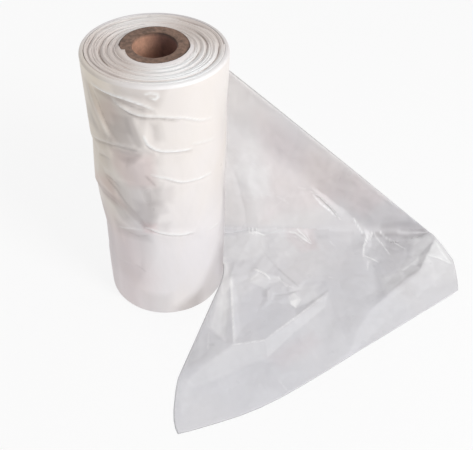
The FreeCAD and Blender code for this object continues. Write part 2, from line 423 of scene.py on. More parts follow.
# %% [markdown]
# ## Floor and light
#
# White film on white ground shows only through its shading. A large soft
# lamp from the front right shades the left side of the roll and draws the
# creases of the bag, and the pale world fills the shadows. The floor looks
# white to the camera but keeps a part of its own shading, so the roll and
# the bag still cast their shadows on it.

# %% Floor
FLOOR_HALF = 3000.0
FLOOR_GREY = (0.90, 0.90, 0.90, 1)
FLOOR_WHITE = 0.80      # share of plain white that the camera sees in the floor

floor_points = np.array([(-1, -1, 0), (1, -1, 0), (1, 1, 0), (-1, 1, 0)]) * FLOOR_HALF
floor = add_object("floor", mesh_from("floor", floor_points, [(0, 1, 2, 3)]))
floor_look, tree, paint = new_look("floor_paint")
set_inputs(paint, {"Base Color": FLOOR_GREY, "Roughness": 0.9})
mix_shaders(seen_share(tree, FLOOR_WHITE), Wire(paint), Wire(add_node(tree, "ShaderNodeEmission")),
            "Material Output")
floor.data.materials.append(floor_look)
print("Floor laid")

# %% Lamps and world
LAMPS = (
    # name, place, size, power in watts: metres from the middle of the roll
    ("key_lamp", (1.12, -1.12, 0.88), 0.6, 14.5),
    ("back_lamp", (-0.70, 0.90, 1.30), 0.9, 2.5),
)
LAMP_AIM = Vector((0.06, 0.0, 0.08))
WORLD_LEVEL, BACKDROP_LEVEL = 0.62, 0.97
WHITE = (1, 1, 1, 1)

for name, place, width, power in LAMPS:
    lamp = bpy.data.lights.new(name, "AREA")
    lamp.size = width
    lamp.energy = power
    holder = bpy.data.objects.new(name, lamp)
    holder.location = place
    holder.rotation_euler = (LAMP_AIM - Vector(place)).to_track_quat("-Z", "Y").to_euler()
    bpy.context.scene.collection.objects.link(holder)
world = bpy.data.worlds.new("studio")
world.use_nodes = True
lights = world.node_tree.nodes["Background"]
set_inputs(lights, {"Color": WHITE, "Strength": WORLD_LEVEL})
backdrop = add_node(world.node_tree, "ShaderNodeBackground",
                    {"Color": WHITE, "Strength": BACKDROP_LEVEL})
mix_shaders(seen_share(world.node_tree, 1.0), Wire(lights), Wire(backdrop), "World Output")
bpy.context.scene.world = world
bpy.context.scene.view_settings.view_transform = "Standard"
print("Lamps:", len(LAMPS))

# %% [markdown]
# ## Film, as a material
#
# The bags are blown from thin polyethylene. It is milky rather than clear, a
# little uneven in thickness, and glossy, with fine wrinkles from winding. The
# unevenness and the wrinkles are needed on the wound film, on its edges and on
# the drawn bag, so both are node groups. Each material then sets its own
# colour and how much shows through.

# %% Uneven film
ROSY, SHADED = (0.97, 0.885, 0.885, 1), (0.62, 0.60, 0.60, 1)

film_tone, ins, outs = start_group(
    "film_tone", "ShaderNodeTree",
    {"Cool": (0.80, 0.82, 0.83, 1), "Warm": (0.86, 0.81, 0.80, 1),
     "Crease Color": (0.97, 0.97, 0.97, 1), "Crease": 0.0, "Tint": 0.5, "Hollow": 0.0,
     "Blush": 0.0, "Thin": 0.0, "Alpha Low": 0.5, "Alpha High": 0.6},
    Color="Color", Alpha="Float")
broad = noise_wire(film_tone, 14.0, 3.0, 0.4, Vector=stretched(film_tone, 1, 1, 0.7))
tone = mixed(ins["Tint"] + ranged(broad, 0.2, 0.8, -0.30, 0.30), ins["Cool"], ins["Warm"])
# The kept values paint into the colour a rosy tint, shade (toward SHADED) and the white of creases
# with their highlights.
tone = mixed(ins["Blush"], tone, ROSY, "MULTIPLY")
tone = mixed(ins["Hollow"], tone, SHADED, "MULTIPLY")
tone = mixed(ins["Crease"], tone, ins["Crease Color"])
cloud = noise_wire(film_tone, 38.0, Vector=stretched(film_tone, 1, 1, 1))
milky = ranged(cloud, 0.2, 0.8, ins["Alpha Low"], ins["Alpha High"]) + ins["Crease"] * 0.35
set_inputs(outs, {"Color": tone, "Alpha": milky.math("MINIMUM", 1.0) * (1.0 - ins["Thin"])})
print("Group:", film_tone.name)

# %% Fine wrinkles
film_wrinkles, ins, outs = start_group(
    "film_wrinkles", "ShaderNodeTree", {"Height": 0.5, "Fineness": 1.0},
    Bump="Float", Roughness="Float")
place = Wire(add_node(film_wrinkles, "ShaderNodeVectorMath",
                      {0: stretched(film_wrinkles, 1.0, 1.0, 0.35), "Scale": ins["Fineness"]},
                      operation="SCALE"))
soft = noise_wire(film_wrinkles, 55.0, 2.0, 0.2, Vector=place)
fine = noise_wire(film_wrinkles, 190.0, Vector=place)
set_inputs(outs, {"Bump": (soft + fine * 0.22) * ins["Height"],
                  "Roughness": ranged(soft, 0.1, 0.9, 0.22, 0.44)})
print("Group:", film_wrinkles.name)


# %% A film material
def film_material(name, cool, warm, alpha, wrinkle_height, fineness, see_through=True):
    """Milky, glossy film, toned by the values kept on the mesh, which paint light and shade into
    it.
    """
    look, tree, shader = new_look(name)
    kept = {label: kept_value(tree, label.lower())
            for label in ("Crease", "Tint", "Hollow", "Blush", "Thin")}
    tone = add_node(tree, "ShaderNodeGroup",
                    {"Cool": (*cool, 1), "Warm": (*warm, 1),
                     "Alpha Low": alpha[0], "Alpha High": alpha[1], **kept}, node_tree=film_tone)
    wrinkles = add_node(tree, "ShaderNodeGroup", {"Height": wrinkle_height, "Fineness": fineness},
                        node_tree=film_wrinkles)
    bump = add_node(tree, "ShaderNodeBump", {"Distance": MM, "Height": Wire(wrinkles, "Bump")})
    set_inputs(shader, {"Base Color": Wire(tone, "Color"), "Normal": Wire(bump, "Normal"),
                        "Roughness": Wire(wrinkles, "Roughness"),
                        "IOR": 1.5, "Specular IOR Level": 0.5})
    if see_through:
        set_inputs(shader, {"Alpha": Wire(tone, "Alpha")})
    return look


wound_look = film_material("wound_film", (0.80, 0.77, 0.779), (0.82, 0.73, 0.61),
                           (1, 1), 0.25, 1.0, see_through=False)
edge_look = film_material("film_edges", (0.78, 0.70, 0.655), (0.81, 0.72, 0.65),
                          (1, 1), 0.15, 1.0, see_through=False)
drawn_look = film_material("drawn_film", (0.745, 0.742, 0.782), (0.885, 0.85, 0.835),
                           (0.52, 0.62), 0.22, 1.2)
print("Materials:", wound_look.name, edge_look.name, drawn_look.name)

# %% [markdown]
# ## The paper core
#
# The core is wound from strips of brown board: its ends show the plies as
# fine rings, its bore shows the slanting seam of the last strip, and its rims
# are slightly crushed. The tube is a grid that goes once round the wall's
# section, so the rims can be rounded and the seam pressed in while it is made.

# %% Core shape
CORE_COLUMNS = 144
PLIES = 13
BORE_ROWS = 99
RIM_ROUND = 0.5
PLY_STEP = 0.12         # height of the steps between plies on the ends
RIM_WAVE = 0.06         # how far each end is from flat
SEAM_RISE = 52.0        # how far the seam climbs in one turn
SEAM_DEPTH, SEAM_WIDTH = 0.22, 0.9
CORE_STANDS = 1.2       # how far the upper end stands out of the turns
SLANT = 0.045           # the end isn't cut quite square: rise towards the back
SLANT_ANGLE = math.radians(81)
WORN_DEPTH, WORN_REACH = 0.5, 2.5       # the rim of the bore is worn down in front
BORE_SHADE_ANGLE = math.radians(5)


def end_rise(radius, angle):
    """How far the slanting upper end of the core stands out of the turns."""
    return CORE_STANDS + SLANT * radius * np.cos(angle - SLANT_ANGLE)


core_rng = np.random.default_rng(11)
wall_radii = np.linspace(BORE_RADIUS + RIM_ROUND, CORE_RADIUS - RIM_ROUND, PLIES)
ply_heights = core_rng.uniform(-PLY_STEP, 0.0, len(wall_radii))
top_side = [(radius, BAG_WIDTH + step) for radius, step in zip(wall_radii, ply_heights)]
outside = [(CORE_RADIUS, height) for height in
           (BAG_WIDTH - RIM_ROUND, BAG_WIDTH - 4, BAG_WIDTH * 0.5, RIM_ROUND)]
foot_side = [(radius, -step) for radius, step in zip(wall_radii[::-1], ply_heights)]
inside = [(BORE_RADIUS, height) for height in
          (RIM_ROUND, *np.linspace(2, BAG_WIDTH - 2, BORE_ROWS), BAG_WIDTH - RIM_ROUND)]
profile = np.array(top_side + outside + foot_side + inside)

angle = np.linspace(0, 2 * math.pi, CORE_COLUMNS, endpoint=False)[:, None]
radius, height = (np.tile(numbers, (CORE_COLUMNS, 1)) for numbers in profile.T)
on_end = (height > BAG_WIDTH - 1) | (height < 1)
wave = RIM_WAVE * np.sin(3 * angle + radius) * np.sign(BAG_WIDTH / 2 - height)
height += np.where(on_end, wave, 0)
worn = (WORN_DEPTH * np.clip((BORE_RADIUS + WORN_REACH - radius) / WORN_REACH, 0, 1)
        * (0.5 - 0.5 * np.sin(angle)))
height += np.clip((height - BAG_WIDTH + 3) / 2, 0, 1) * (end_rise(radius, angle) - worn)
in_bore = np.isclose(radius, BORE_RADIUS)
off_seam = (height / SEAM_RISE - angle / (2 * math.pi)) % 1.0
seam = np.exp(-((off_seam - 0.5) * SEAM_RISE / SEAM_WIDTH) ** 2)
radius += np.where(in_bore & ~on_end, SEAM_DEPTH * seam, 0)
core_points = np.dstack([on_circle(angle, radius), height])
core_mesh = mesh_from("paper_core", core_points.reshape(-1, 3),
                      grid_faces(CORE_COLUMNS, len(profile), round_columns=True, turned=True))
# Painted shade: the right side of the bore, away from the lamp, and the gap at the core's outer
# edge.
stained = np.where(in_bore, 0.5 + 1.2 * np.cos(angle - BORE_SHADE_ANGLE), 0)
stained = np.where(radius > CORE_RADIUS - RIM_ROUND - 0.1, 0.8, stained)
keep_values(core_mesh, cut_end=on_end, stained=stained.clip(0, 1))
core_piece = add_object("paper_core", core_mesh)
print("Core faces:", len(core_piece.data.polygons))

# %% [markdown]
# ## Brown board, as a material
#
# Board is made of short fibres, darker on a cut end than on its face. Fine
# noise gives the fibres, wider noise the blotches, and a value kept on the
# mesh tells the cut ends from the bore, which is a lighter tan. A second value
# paints shade on the bore's right side and in the gap at the core's outer edge.

# %% Board material
FACE_BROWN, END_BROWN = (0.58, 0.325, 0.225, 1), (0.198, 0.122, 0.088, 1)
BOARD_SHADE_TINT = (0.30, 0.28, 0.32, 1)

board, tree, shader = new_look("brown_board")
place = Wire(add_node(tree, "ShaderNodeTexCoord"), "Object")
fibres = noise_wire(tree, 900.0, 3.0, 0.5, Vector=place)
blotches = noise_wire(tree, 330.0, 3.0, 0.3, Vector=place)
cut_end = kept_value(tree, "cut_end")
speckle = ranged(fibres, 0.3, 0.7, 0.30, 0.60) + ranged(blotches, 0.35, 0.65, 0.15, 0.75)
tone = mixed(cut_end, FACE_BROWN, END_BROWN)
tone = mixed(cut_end * 0.65 + 0.35, tone, speckle, "MULTIPLY")
# Painted shade from the kept value darkens the bore's right side and the core's outer edge.
tone = mixed(kept_value(tree, "stained"), tone, BOARD_SHADE_TINT, "MULTIPLY")
bump = add_node(tree, "ShaderNodeBump", {"Distance": 0.3 * MM, "Strength": 0.7, "Height": fibres})
set_inputs(shader, {"Base Color": tone, "Roughness": ranged(fibres, 0.3, 0.7, 0.72, 0.92),
                    "Normal": Wire(bump, "Normal")})
core_piece.data.materials.append(board)
print("Material:", board.name)

# %% [markdown]
# ## The wound bags
#
# The turns are pulled over one another as the roll is wound, so the outer
# ones carry long diagonal folds, dents between them and thin raised lines
# round the waist. The side of the roll is unrolled onto a flat map, where the
# folds are marked as lines with the depth at each end. The map is then rolled
# up again into one closed skin, with a rounded rim at both ends.

# %% Folds in the outer turns
ROLL_FOLDS = (
    # lines of (angle in degrees, height, depth); depth is in millimetres
    ((-128, 192.6, 0.5), (-112, 193.4, 0.8), (-99, 191.6, 0.9), (-90, 188, 0.3)),
    ((-147, 191.6, 0.2), (-127.7, 191.1, -0.1), (-117.8, 191.1, -0.4), (-110.2, 190.3, -0.5),
     (-101.8, 188.6, -0.5), (-93, 185.2, -0.2)),
    ((-124, 188.8, 0.9), (-112, 186.2, 1.3), (-103, 184.5, 1.0), (-94, 183.2, 0.4)),
    ((-128, 189.4, 1.0), (-118.7, 184.8, -0.1), (-110, 181.9, -0.3), (-101.4, 181, -0.3),
     (-90.5, 180.9, -0.2), (-72, 178, -0.1), (-58, 172.6, -0.1), (-45, 169.6, 0.0)),
    ((-117, 182.2, 1.3), (-104, 178.6, 1.0), (-90, 178.9, 0.5), (-74, 175.8, 0.3)),
    ((-155, 190, 0.1), (-150.9, 182.5, 0.0), (-145.9, 175, -0.1), (-141.1, 168.6, -0.1),
     (-135.6, 162.1, -0.1), (-131, 158.6, -0.1)),
    ((-149, 189, 1.0), (-144, 181, 1.5), (-139, 172, 1.8), (-132, 162, 1.8), (-125, 156.6, 1.0)),
    ((-128, 183, 1.8), (-119, 175, 1.6), (-115, 166, 1.5), (-111, 159.6, 1.0)),
    ((-102.6, 168, -0.6), (-100.3, 161.6, -0.7), (-95, 158.2, -0.8), (-89.7, 156.3, -0.5),
     (-79.5, 155.3, -0.4), (-65.8, 154.2, -0.1)),
    ((-99, 177.4, 0.8), (-95, 172.4, 1.2), (-94, 164.6, 0.7)),
    ((-88, 177, 0.2), (-85.5, 163, 0.0)),
    ((-92, 153.7, 0.6), (-79, 152.9, 0.6), (-64, 152, 0.2)),
    ((-66, 158, -0.3), (-43.4, 153.4, -0.1)),
    ((-160, 149.6, -0.1), (-141, 154.2, -0.3), (-126, 156.4, -0.2), (-112, 157.4, -0.3)),
    ((-160, 146.4, 0.6), (-141.2, 151.2, 1.2), (-129.6, 153.2, 1.5), (-117.2, 154.3, 1.3),
     (-104, 155.2, 0.2)),
    ((-158, 142, 0.7), (-146, 145.2, -0.1), (-136, 148.6, 0.3)),
    ((-152, 138.6, 0.2), (-143, 140, 1.2), (-135.4, 141, 0.6)),
    ((-150, 133.4, -0.2), (-138, 131.8, 0.0)),
    ((-129, 147.4, 1.5), (-119, 146.2, 1.9), (-111, 149.4, 1.2)),
    ((-121, 139, 0.8), (-114, 143.4, 0.0), (-105.1, 151, -0.3), (-94, 151.4, -0.1)),
    ((-104, 137.6, -0.1), (-98.6, 131.4, 0.3), (-95.5, 127.2, 1.0)),
    ((-100, 138.4, 0.0), (-87, 135.4, -0.6), (-75.1, 130.4, -0.7), (-66.3, 129.4, -0.5),
     (-45.1, 127.4, 0.0)),
    ((-88, 132, 0.4), (-75, 127.8, 0.6), (-60, 126.4, 0.2)),
    ((-147, 124.4, 0.9), (-139, 123.4, 1.5), (-131, 121, 1.4)),
    ((-147.6, 123.2, 0.6), (-134.3, 116.8, 1.4), (-125.1, 107.4, 1.7), (-112.2, 95.9, 1.2),
     (-103.9, 90.4, 0.2)),
    ((-152, 115, -0.2), (-137, 110.6, 0.3), (-127.5, 101.6, 0.4), (-117, 93.4, 0.2),
     (-107.9, 89, 0.0)),
    ((-160, 103.6, 0.3), (-145, 104.8, 1.0), (-134, 103.9, 0.9)),
    ((-124, 121, 1.0), (-117, 112, 1.5), (-111, 102, 1.5)),
    ((-107, 120, 1.3), (-104, 111, 1.5), (-104.5, 101, 1.3)),
    ((-92, 124, 0.0), (-89.6, 115, -0.2), (-94.2, 105.6, -0.2), (-101.8, 96.8, -0.1)),
    ((-107.9, 92, -0.5), (-102.3, 91.4, -0.8), (-96.8, 88.8, -0.8), (-88.4, 86.6, -0.7),
     (-78.2, 84.4, -0.6), (-65.7, 82.6, -0.2)),
    ((-96, 86.4, 0.7), (-88, 84.2, 0.7), (-78, 82, 0.6), (-64, 80.6, 0.2)),
    ((-90, 91.4, 0.3), (-76, 90, 0.4), (-62, 87, 0.1)),
    ((-50, 77.6, -0.3), (-33.2, 75.1, -0.2)),
    ((-136, 83.2, 0.0), (-119.2, 88.4, -0.3), (-108, 89.6, -0.4)),
    ((-127, 81.8, 1.0), (-115.3, 80.4, 1.5), (-104.3, 84.2, 0.9)),
    ((-132, 66, 0.4), (-114, 62, 0.7), (-96, 70, 0.1)),
    ((-122, 51, 0.2), (-116, 48.4, 0.7), (-111, 45.6, 0.2)),
    ((-78, 0, 0.1), (-50, 0, 0.1), (-20, 0, 0.0), (10, 0, 0.0)),
    ((-84, 10, 0.1), (-56, 17, 0.2), (-28, 30, 0.1), (0, 34, 0.1)),
    ((-168, 140, 0.8), (-176, 138.6, 0.8), (174, 138, 0.5)),
    ((-160, 118, -0.7), (-170, 107.6, -1.7), (180, 104, -1.2)),
    ((-154, 88, 0.3), (-168, 87, 0.1), (176, 86, 0.1)),
    ((-150, 72, 0.5), (-168, 67, 1.7), (178, 64, 1.3)),
    ((-158, 45, 0.7), (-174, 43, 0.9), (176, 42, 0.6)),
    ((-44, 186, 0.2), (-30, 160, 0.5), (-20, 130, 0.5), (-20, 104, 0.8), (-23, 74, 0.5),
     (-28, 50, 0.0)),
    ((-52, 70, 0.2), (-36, 58, 0.5), (-24, 44, 0.3)),
    ((8, 188, 0.0), (40, 168, 1.2), (74, 160, 0.3)),
    ((10, 132, 0.3), (44, 118, 1.3), (80, 124, 0.2)),
    ((20, 64, 0.1), (58, 78, 1.2), (96, 72, 0.1), (128, 84, 1.1), (160, 70, 0.2)),
    ((92, 172, 0.1), (120, 150, 1.4), (150, 142, 0.3)),
    ((100, 36, 0.2), (140, 28, 0.9), (172, 30, 0.1)),
    ((-100, 195, 0.0), (-95, 196.2, -0.3), (-90.5, 195.6, -0.3), (-89.4, 193.6, -0.2),
     (-92, 192, -0.2), (-96.6, 193, 0.0)),
    ((-110.4, 179.4, 0.4), (-104.8, 173.3, -0.3), (-102.6, 168, -0.6)),
)
RIM_LINES = (200.0, 196.6)
FOLD_SOFTNESS = 0.6


def unwrapped(fold):
    """The fold with its angles running on past the seam at the back."""
    angles = np.degrees(np.unwrap(np.radians([mark[0] for mark in fold])))
    return [(angle, *mark[1:]) for angle, mark in zip(angles, fold)]


def unrolled(angle, height):
    """A place on the flat map of the roll's side, or places."""
    return np.radians(angle) * ROLL_RADIUS, height


def fold_lines():
    """All folds on the map, and again one turn to either side."""
    lines = []
    for shift in (-360, 0, 360):
        for fold in ROLL_FOLDS:
            lines.append([(*unrolled(angle + shift, height), depth)
                          for angle, height, depth in unwrapped(fold)])
        lines.append([(*unrolled(angle + shift, 0.0), 0.0) for angle in range(20, 280, 20)])
    for height in RIM_LINES:
        lines.append([(*unrolled(angle, height), 0.0) for angle in range(-540, 541, 20)])
    return lines


print("Folds:", len(ROLL_FOLDS))

# %% Shading of the side
# Thin raised lines along some folds: number of the fold, height, whiteness. The whiteness is
# partly the whitening of creased film and partly a painted highlight on the ridge.
THIN_RIDGES = ((1, 0.60, 1.2), (3, 0.60, 0.8), (5, 0.2, 0.3), (8, 0.9, 1.5), (12, 0.3, 0.4),
               (13, 0.3, 0.25), (21, 0.6, 1.1), (25, 0.1, 0.1), (30, 0.8, 1.5),
               (33, 0.3, 0.5), (34, 0.3, 0.4), (52, 0.35, 1.0))
# Folds painted darker, as painted shade in the fold: number of the fold, darkness.
DARK_FOLDS = ((2, 0.7), (4, 1.0), (6, 0.9), (14, 1.0), (16, 0.7), (20, 0.8), (23, 0.9),
              (24, 1.2), (26, 0.8), (31, 0.5), (35, 0.5), (37, 0.45), (9, 0.25), (11, 0.4))
# Painted shade in the hollows that the folds frame, leaving the swellings lit, in the shadow
# between the foot and the drawn bag, and over the shaded left side: corners, strength, softness.
SHADED_PATCHES = (
    (((-146, 189), (-126, 190), (-112, 182), (-107, 170), (-103, 160), (-112, 153), (-134, 155),
      (-131, 162), (-139, 173)), 0.42, 2.2),
    (((-156, 190), (-148, 183), (-139, 171), (-130, 160), (-137, 158), (-147, 168), (-155, 178)),
     0.34, 3.0),
    (((-146, 194), (-114, 191), (-108, 187), (-118, 184), (-144, 188)), 0.30, 2.5),
    (((-130, 177), (-114, 178), (-112, 166), (-127, 166)), 0.30, 3.0),
    (((-156, 167), (-146, 165), (-130, 159), (-136, 153), (-150, 157)), 0.28, 4.0),
    (((-108, 127), (-94, 126), (-93, 112), (-104, 112)), 0.28, 4.0),
    (((-116, 22), (-90, 22), (-88, -10), (-114, -10)), 0.26, 7.0),
    (((-28, 42), (4, 40), (10, 8), (-26, 8)), 0.34, 7.0),
    (((-136, 169), (-117, 168), (-114, 159), (-134, 158)), 0.26, 3.0),
    (((-116, 178), (-110, 178), (-104, 162), (-108, 158), (-116, 168)), 0.20, 2.5),
    (((-113, 186), (-100, 186), (-99, 179), (-102, 168), (-106, 176), (-112, 178)), 0.30, 2.5),
    (((-97, 176), (-92, 174), (-90, 164), (-96, 161)), 0.28, 3.5),
    (((-126, 200), (-82, 200), (-90, 186), (-104, 186), (-122, 187)), 0.34, 3.5),
    (((-134, 151), (-106, 153), (-112, 146), (-122, 143), (-132, 146)), 0.42, 3.0),
    (((-142, 160), (-108, 157), (-106, 151), (-134, 149)), 0.24, 3.5),
    (((-192, 168), (-168, 172), (-152, 172), (-146, 160), (-164, 158)), 0.34, 5.0),
    (((-106, 159), (-90, 157), (-90, 146), (-104, 146)), 0.24, 4.0),
    (((-132, 145), (-112, 147), (-98, 147), (-93, 131), (-104, 127), (-130, 129)), 0.30, 4.0),
    (((-134, 126), (-104, 128), (-98, 118), (-90, 117), (-87, 106), (-94, 104), (-98, 96),
      (-106, 91), (-119, 99), (-132, 108)), 0.34, 3.2),
    (((-116, 113), (-99, 114), (-97, 102), (-103, 91), (-112, 94)), 0.30, 5.0),
    (((-130, 105), (-112, 104), (-112, 95), (-126, 95)), 0.26, 3.5),
    (((-176, 105), (-158, 110), (-136, 110), (-122, 106), (-110, 96), (-103, 89), (-114, 88),
      (-130, 92), (-140, 100), (-158, 103)), 0.46, 3.5),
    (((-101, 129), (-82, 127), (-83, 114), (-97, 119)), 0.30, 4.5),
    (((-106, 97), (-86, 97), (-88, 88), (-104, 89)), 0.28, 4.0),
    (((-140, 88), (-104, 88), (-104, 78), (-138, 77)), 0.34, 5.0),
    (((-86, -30), (95, -30), (95, 16), (50, 52), (0, 88), (-20, 98), (-24, 78), (-31, 56),
      (-43, 40), (-60, 22), (-74, 12), (-82, 4)), 0.34, 9.0),
    (((-76, -30), (95, -30), (95, -10), (50, 30), (4, 76), (-17, 96), (-18, 72), (-26, 50),
      (-40, 34), (-58, 16), (-68, 8)), 0.26, 11.0),
    (((-92, -30), (-60, -30), (-58, 16), (-72, 14), (-86, 6)), 0.42, 8.0),
    (((-24, 112), (10, 92), (40, 60), (10, 60), (-16, 80)), 0.28, 10.0),
    (((-270, 120), (-168, 106), (-132, 104), (-134, 148), (-146, 172), (-150, 192),
      (-168, 196), (-270, 176)), 0.38, 8.0),
    (((-164, 74), (-152, 104), (-164, 108), (-200, 96)), 0.20, 8.0),
    (((-270, -10), (-153, -10), (-149, 84), (-158, 92), (-270, 60)), 0.36, 9.0),
    (((-270, 10), (-112, 34), (-104, 80), (-150, 98), (-270, 70)), 0.17, 11.0),
)
# Rosy patches: a painted rosy shade on the left and front left of the roll, away from the lamp:
# corners, strength, softness.
BLUSHES = (
    (((-150, 176), (-128, 188), (-122, 176), (-134, 166)), 0.5, 6.0),
    (((-180, 110), (-160, 101), (-128, 104), (-140, 124), (-162, 119)), 0.9, 8.0),
    (((-132, 150), (-96, 154), (-96, 128), (-120, 124), (-134, 138)), 0.7, 6.0),
    (((-270, -10), (-122, -10), (-106, 40), (-120, 84), (-160, 92), (-270, 50)), 0.75, 22.0),
    (((-110, 96), (-98, 96), (-98, 86), (-110, 86)), 0.9, 4.0),
)
print("Hollows:", len(SHADED_PATCHES), "and rosy patches:", len(BLUSHES))

# %% The side of the roll, on its map
SIDE_COLUMNS, SIDE_ROWS = 352, 184
# The outermost turns end in a soft rounded rim: way in from the side, way down.
RIM_SECTION = ((0.0, 2.4), (0.14, 1.6), (0.42, 0.9), (0.85, 0.4), (1.3, 0.16), (1.8, 0.22),
               (2.2, 0.08), (2.5, 0.1), (2.75, 0.3))
FOOT_SECTION = ((0.0, 0.7), (0.20, 0.35), (0.60, 0.08), (1.1, 0.0), (1.7, 0.05), (2.2, 0.12),
                (2.6, 0.4), (2.9, 1.3))
RIPPLE = 0.18           # depth of the soft waves all over the side
RIDGE_WIDTH, TROUGH_WIDTH, TROUGH_BELOW = 1.4, 1.7, 2.1
WHITE_WIDTH, DARK_WIDTH = 1.3, 1.8
DEEPEST, DEPTH_SHADE = 2.4, 0.35
# The patches fade out towards the back, where the turns are plain.
FADE_LEFT, FADE_RIGHT = (-204, -166), (-10, 35)

turns = np.linspace(-180, 180, SIDE_COLUMNS, endpoint=False)
heights = np.linspace(FOOT_SECTION[0][1], BAG_WIDTH - RIM_SECTION[0][1], SIDE_ROWS)
turn, height = np.meshgrid(turns, heights, indexing="ij")
past_seam = np.where(turn > 90, turn - 360, turn)
fading = (np.interp(past_seam, FADE_LEFT, (0, 1))
          * np.interp(past_seam, FADE_RIGHT, (1, 0)))


def on_map(angle):
    """Places on the map for every point of the side."""
    return np.stack(unrolled(angle, height), axis=-1).reshape(-1, 2)


def side_patch(corners, softness):
    """Mask of a patch of the roll's side, given by angles and heights."""
    corners = [unrolled(angle, level) for angle, level in corners]
    return fading * patch_mask(on_map(past_seam), corners, softness).reshape(turn.shape)


def fold_mask(number, width, shift=0.0, broken=0.0):
    """Mask along a fold of the roll, moved up or down on the map."""
    line = [unrolled(mark[0], mark[1] + shift) for mark in unwrapped(ROLL_FOLDS[number])]
    return line_mask(on_map(turn), line, width, broken).reshape(turn.shape)


def side_ripple():
    """Soft waves that lean a little as they climb."""
    leaning = on_circle(np.radians(turn), ROLL_RADIUS) + height[..., None] * np.array([0.3, 1.0])
    waves = [noise.fractal(Vector((x * 0.06, y * 0.025, 3.0)), 0.8, 2.1, 3)
             for x, y in leaning.reshape(-1, 2)]
    return np.reshape(waves, turn.shape)


depth = faceted(on_map(turn), fold_lines(), FOLD_SOFTNESS).reshape(turn.shape)
depth += RIPPLE * side_ripple()
# Deeper folds are painted darker as painted shade; the white lines are crease whitening and
# painted highlight.
white_lines, shade = np.zeros(turn.shape), np.clip(depth / DEEPEST, 0, 1) * DEPTH_SHADE
for number, ridge_height, whiteness in THIN_RIDGES:
    depth -= ridge_height * fold_mask(number, RIDGE_WIDTH)
    depth += 0.8 * ridge_height * fold_mask(number, TROUGH_WIDTH, shift=-TROUGH_BELOW)
    white_lines = np.maximum(white_lines, whiteness * fold_mask(number, WHITE_WIDTH, broken=0.4))
for number, darkness in DARK_FOLDS:
    shade = np.maximum(shade, darkness * fold_mask(number, DARK_WIDTH, broken=0.35))
for corners, strength, softness in SHADED_PATCHES:
    shade += strength * side_patch(corners, softness)
blush = np.max([strength * side_patch(corners, softness)
                for corners, strength, softness in BLUSHES], axis=0)
print("Deepest fold: %.1f mm" % depth.max())

# %% The side of the roll, rolled up
LIP_DEPTH = 3.0         # how deep the ends of the turns can be seen
OUTER_BUNDLE = 3.0      # thickness of the outermost turns that end together
LIP_PLAY = 0.12         # between the core and the skin

side_radius = ROLL_RADIUS + 0.05 - depth
inner = np.full((SIDE_COLUMNS, 1), CORE_RADIUS + LIP_PLAY)
foot_rim, top_rim = side_radius[:, :1], side_radius[:, -1:]
columns, levels = [inner, foot_rim - OUTER_BUNDLE], [LIP_DEPTH, LIP_DEPTH]
for inset, down in FOOT_SECTION[:0:-1]:
    columns.append(foot_rim - inset)
    levels.append(down)
first_side = len(levels)
columns.append(side_radius)
levels += list(heights)
uneven = 1 + 0.10 * np.sin(np.radians(2 * turns + 40)) + 0.05 * np.sin(np.radians(5 * turns))
for inset, down in RIM_SECTION[1:]:
    width = inset * (1 + (uneven - 1) * (1 - inset / RIM_SECTION[-1][0]))
    columns.append(top_rim - width[:, None])
    levels.append(BAG_WIDTH - down)
columns += [top_rim - OUTER_BUNDLE, inner]
levels = np.array([*levels, BAG_WIDTH - LIP_DEPTH, BAG_WIDTH - LIP_DEPTH])
radius = np.concatenate(columns, axis=1)
side_points = np.dstack([on_circle(np.radians(turns)[:, None], radius),
                         np.broadcast_to(levels, radius.shape)]).reshape(-1, 3)
side_faces = grid_faces(SIDE_COLUMNS, len(levels), round_columns=True)
print("Rows:", len(levels))

# %% The innermost film, round the rim of the core
# It hugs the rim in front, and at the left a torn tip of it lies over the rim.
TORN_TIP = ((-178, 0.2), (-171, 0.6), (-165, 0.9), (-163, 3.0), (-158, 2.5), (-151, 1.9),
            (-143, 1.2), (-135, 0.6), (-127, 0.2),
            *((angle, -0.2) for angle in range(-119, 10, 8)))   # angle, how far it reaches in
TIP_FOOT = ((2.4, -0.65), (2.4, -0.35))     # way out, way up: among the turns
TIP_SINKS = (-20, 9)                        # between these angles it goes down among them


def tip_ring(angle, reach):
    """One section of the innermost film: its foot, and its part on the core."""
    around = math.radians(angle)
    lift = np.interp(angle, TIP_SINKS, (1, 0))
    ring = [(CORE_RADIUS + out, up) for out, up in TIP_FOOT]
    for out, up in ((0.4, 0.45), (-reach, 0.4), (-reach, 0.1), (0.4, 0.15)):
        risen = lift * (up + end_rise(CORE_RADIUS + out, around))
        ring.append((CORE_RADIUS + out, risen - 0.5 * (1 - lift)))
    return [(*on_circle(around, radius), BAG_WIDTH + up) for radius, up in ring]


tip_points = np.concatenate([tip_ring(angle, reach) for angle, reach in TORN_TIP])
ring_size = len(tip_points) // len(TORN_TIP)
start, end = len(side_points), len(side_points) + len(tip_points)
tip_faces = grid_faces(len(TORN_TIP), ring_size, first=start).tolist()
tip_faces += [list(range(start, start + ring_size)), list(range(end - 1, end - 1 - ring_size, -1))]
side_mesh = mesh_from("wound_bags", np.concatenate([side_points, tip_points]),
                      side_faces.tolist() + tip_faces)
print("Faces of the innermost film:", len(tip_faces))

# %% Values for the film material
on_side = slice(first_side, first_side + SIDE_ROWS)
on_top = levels > heights[-1] + 0.01
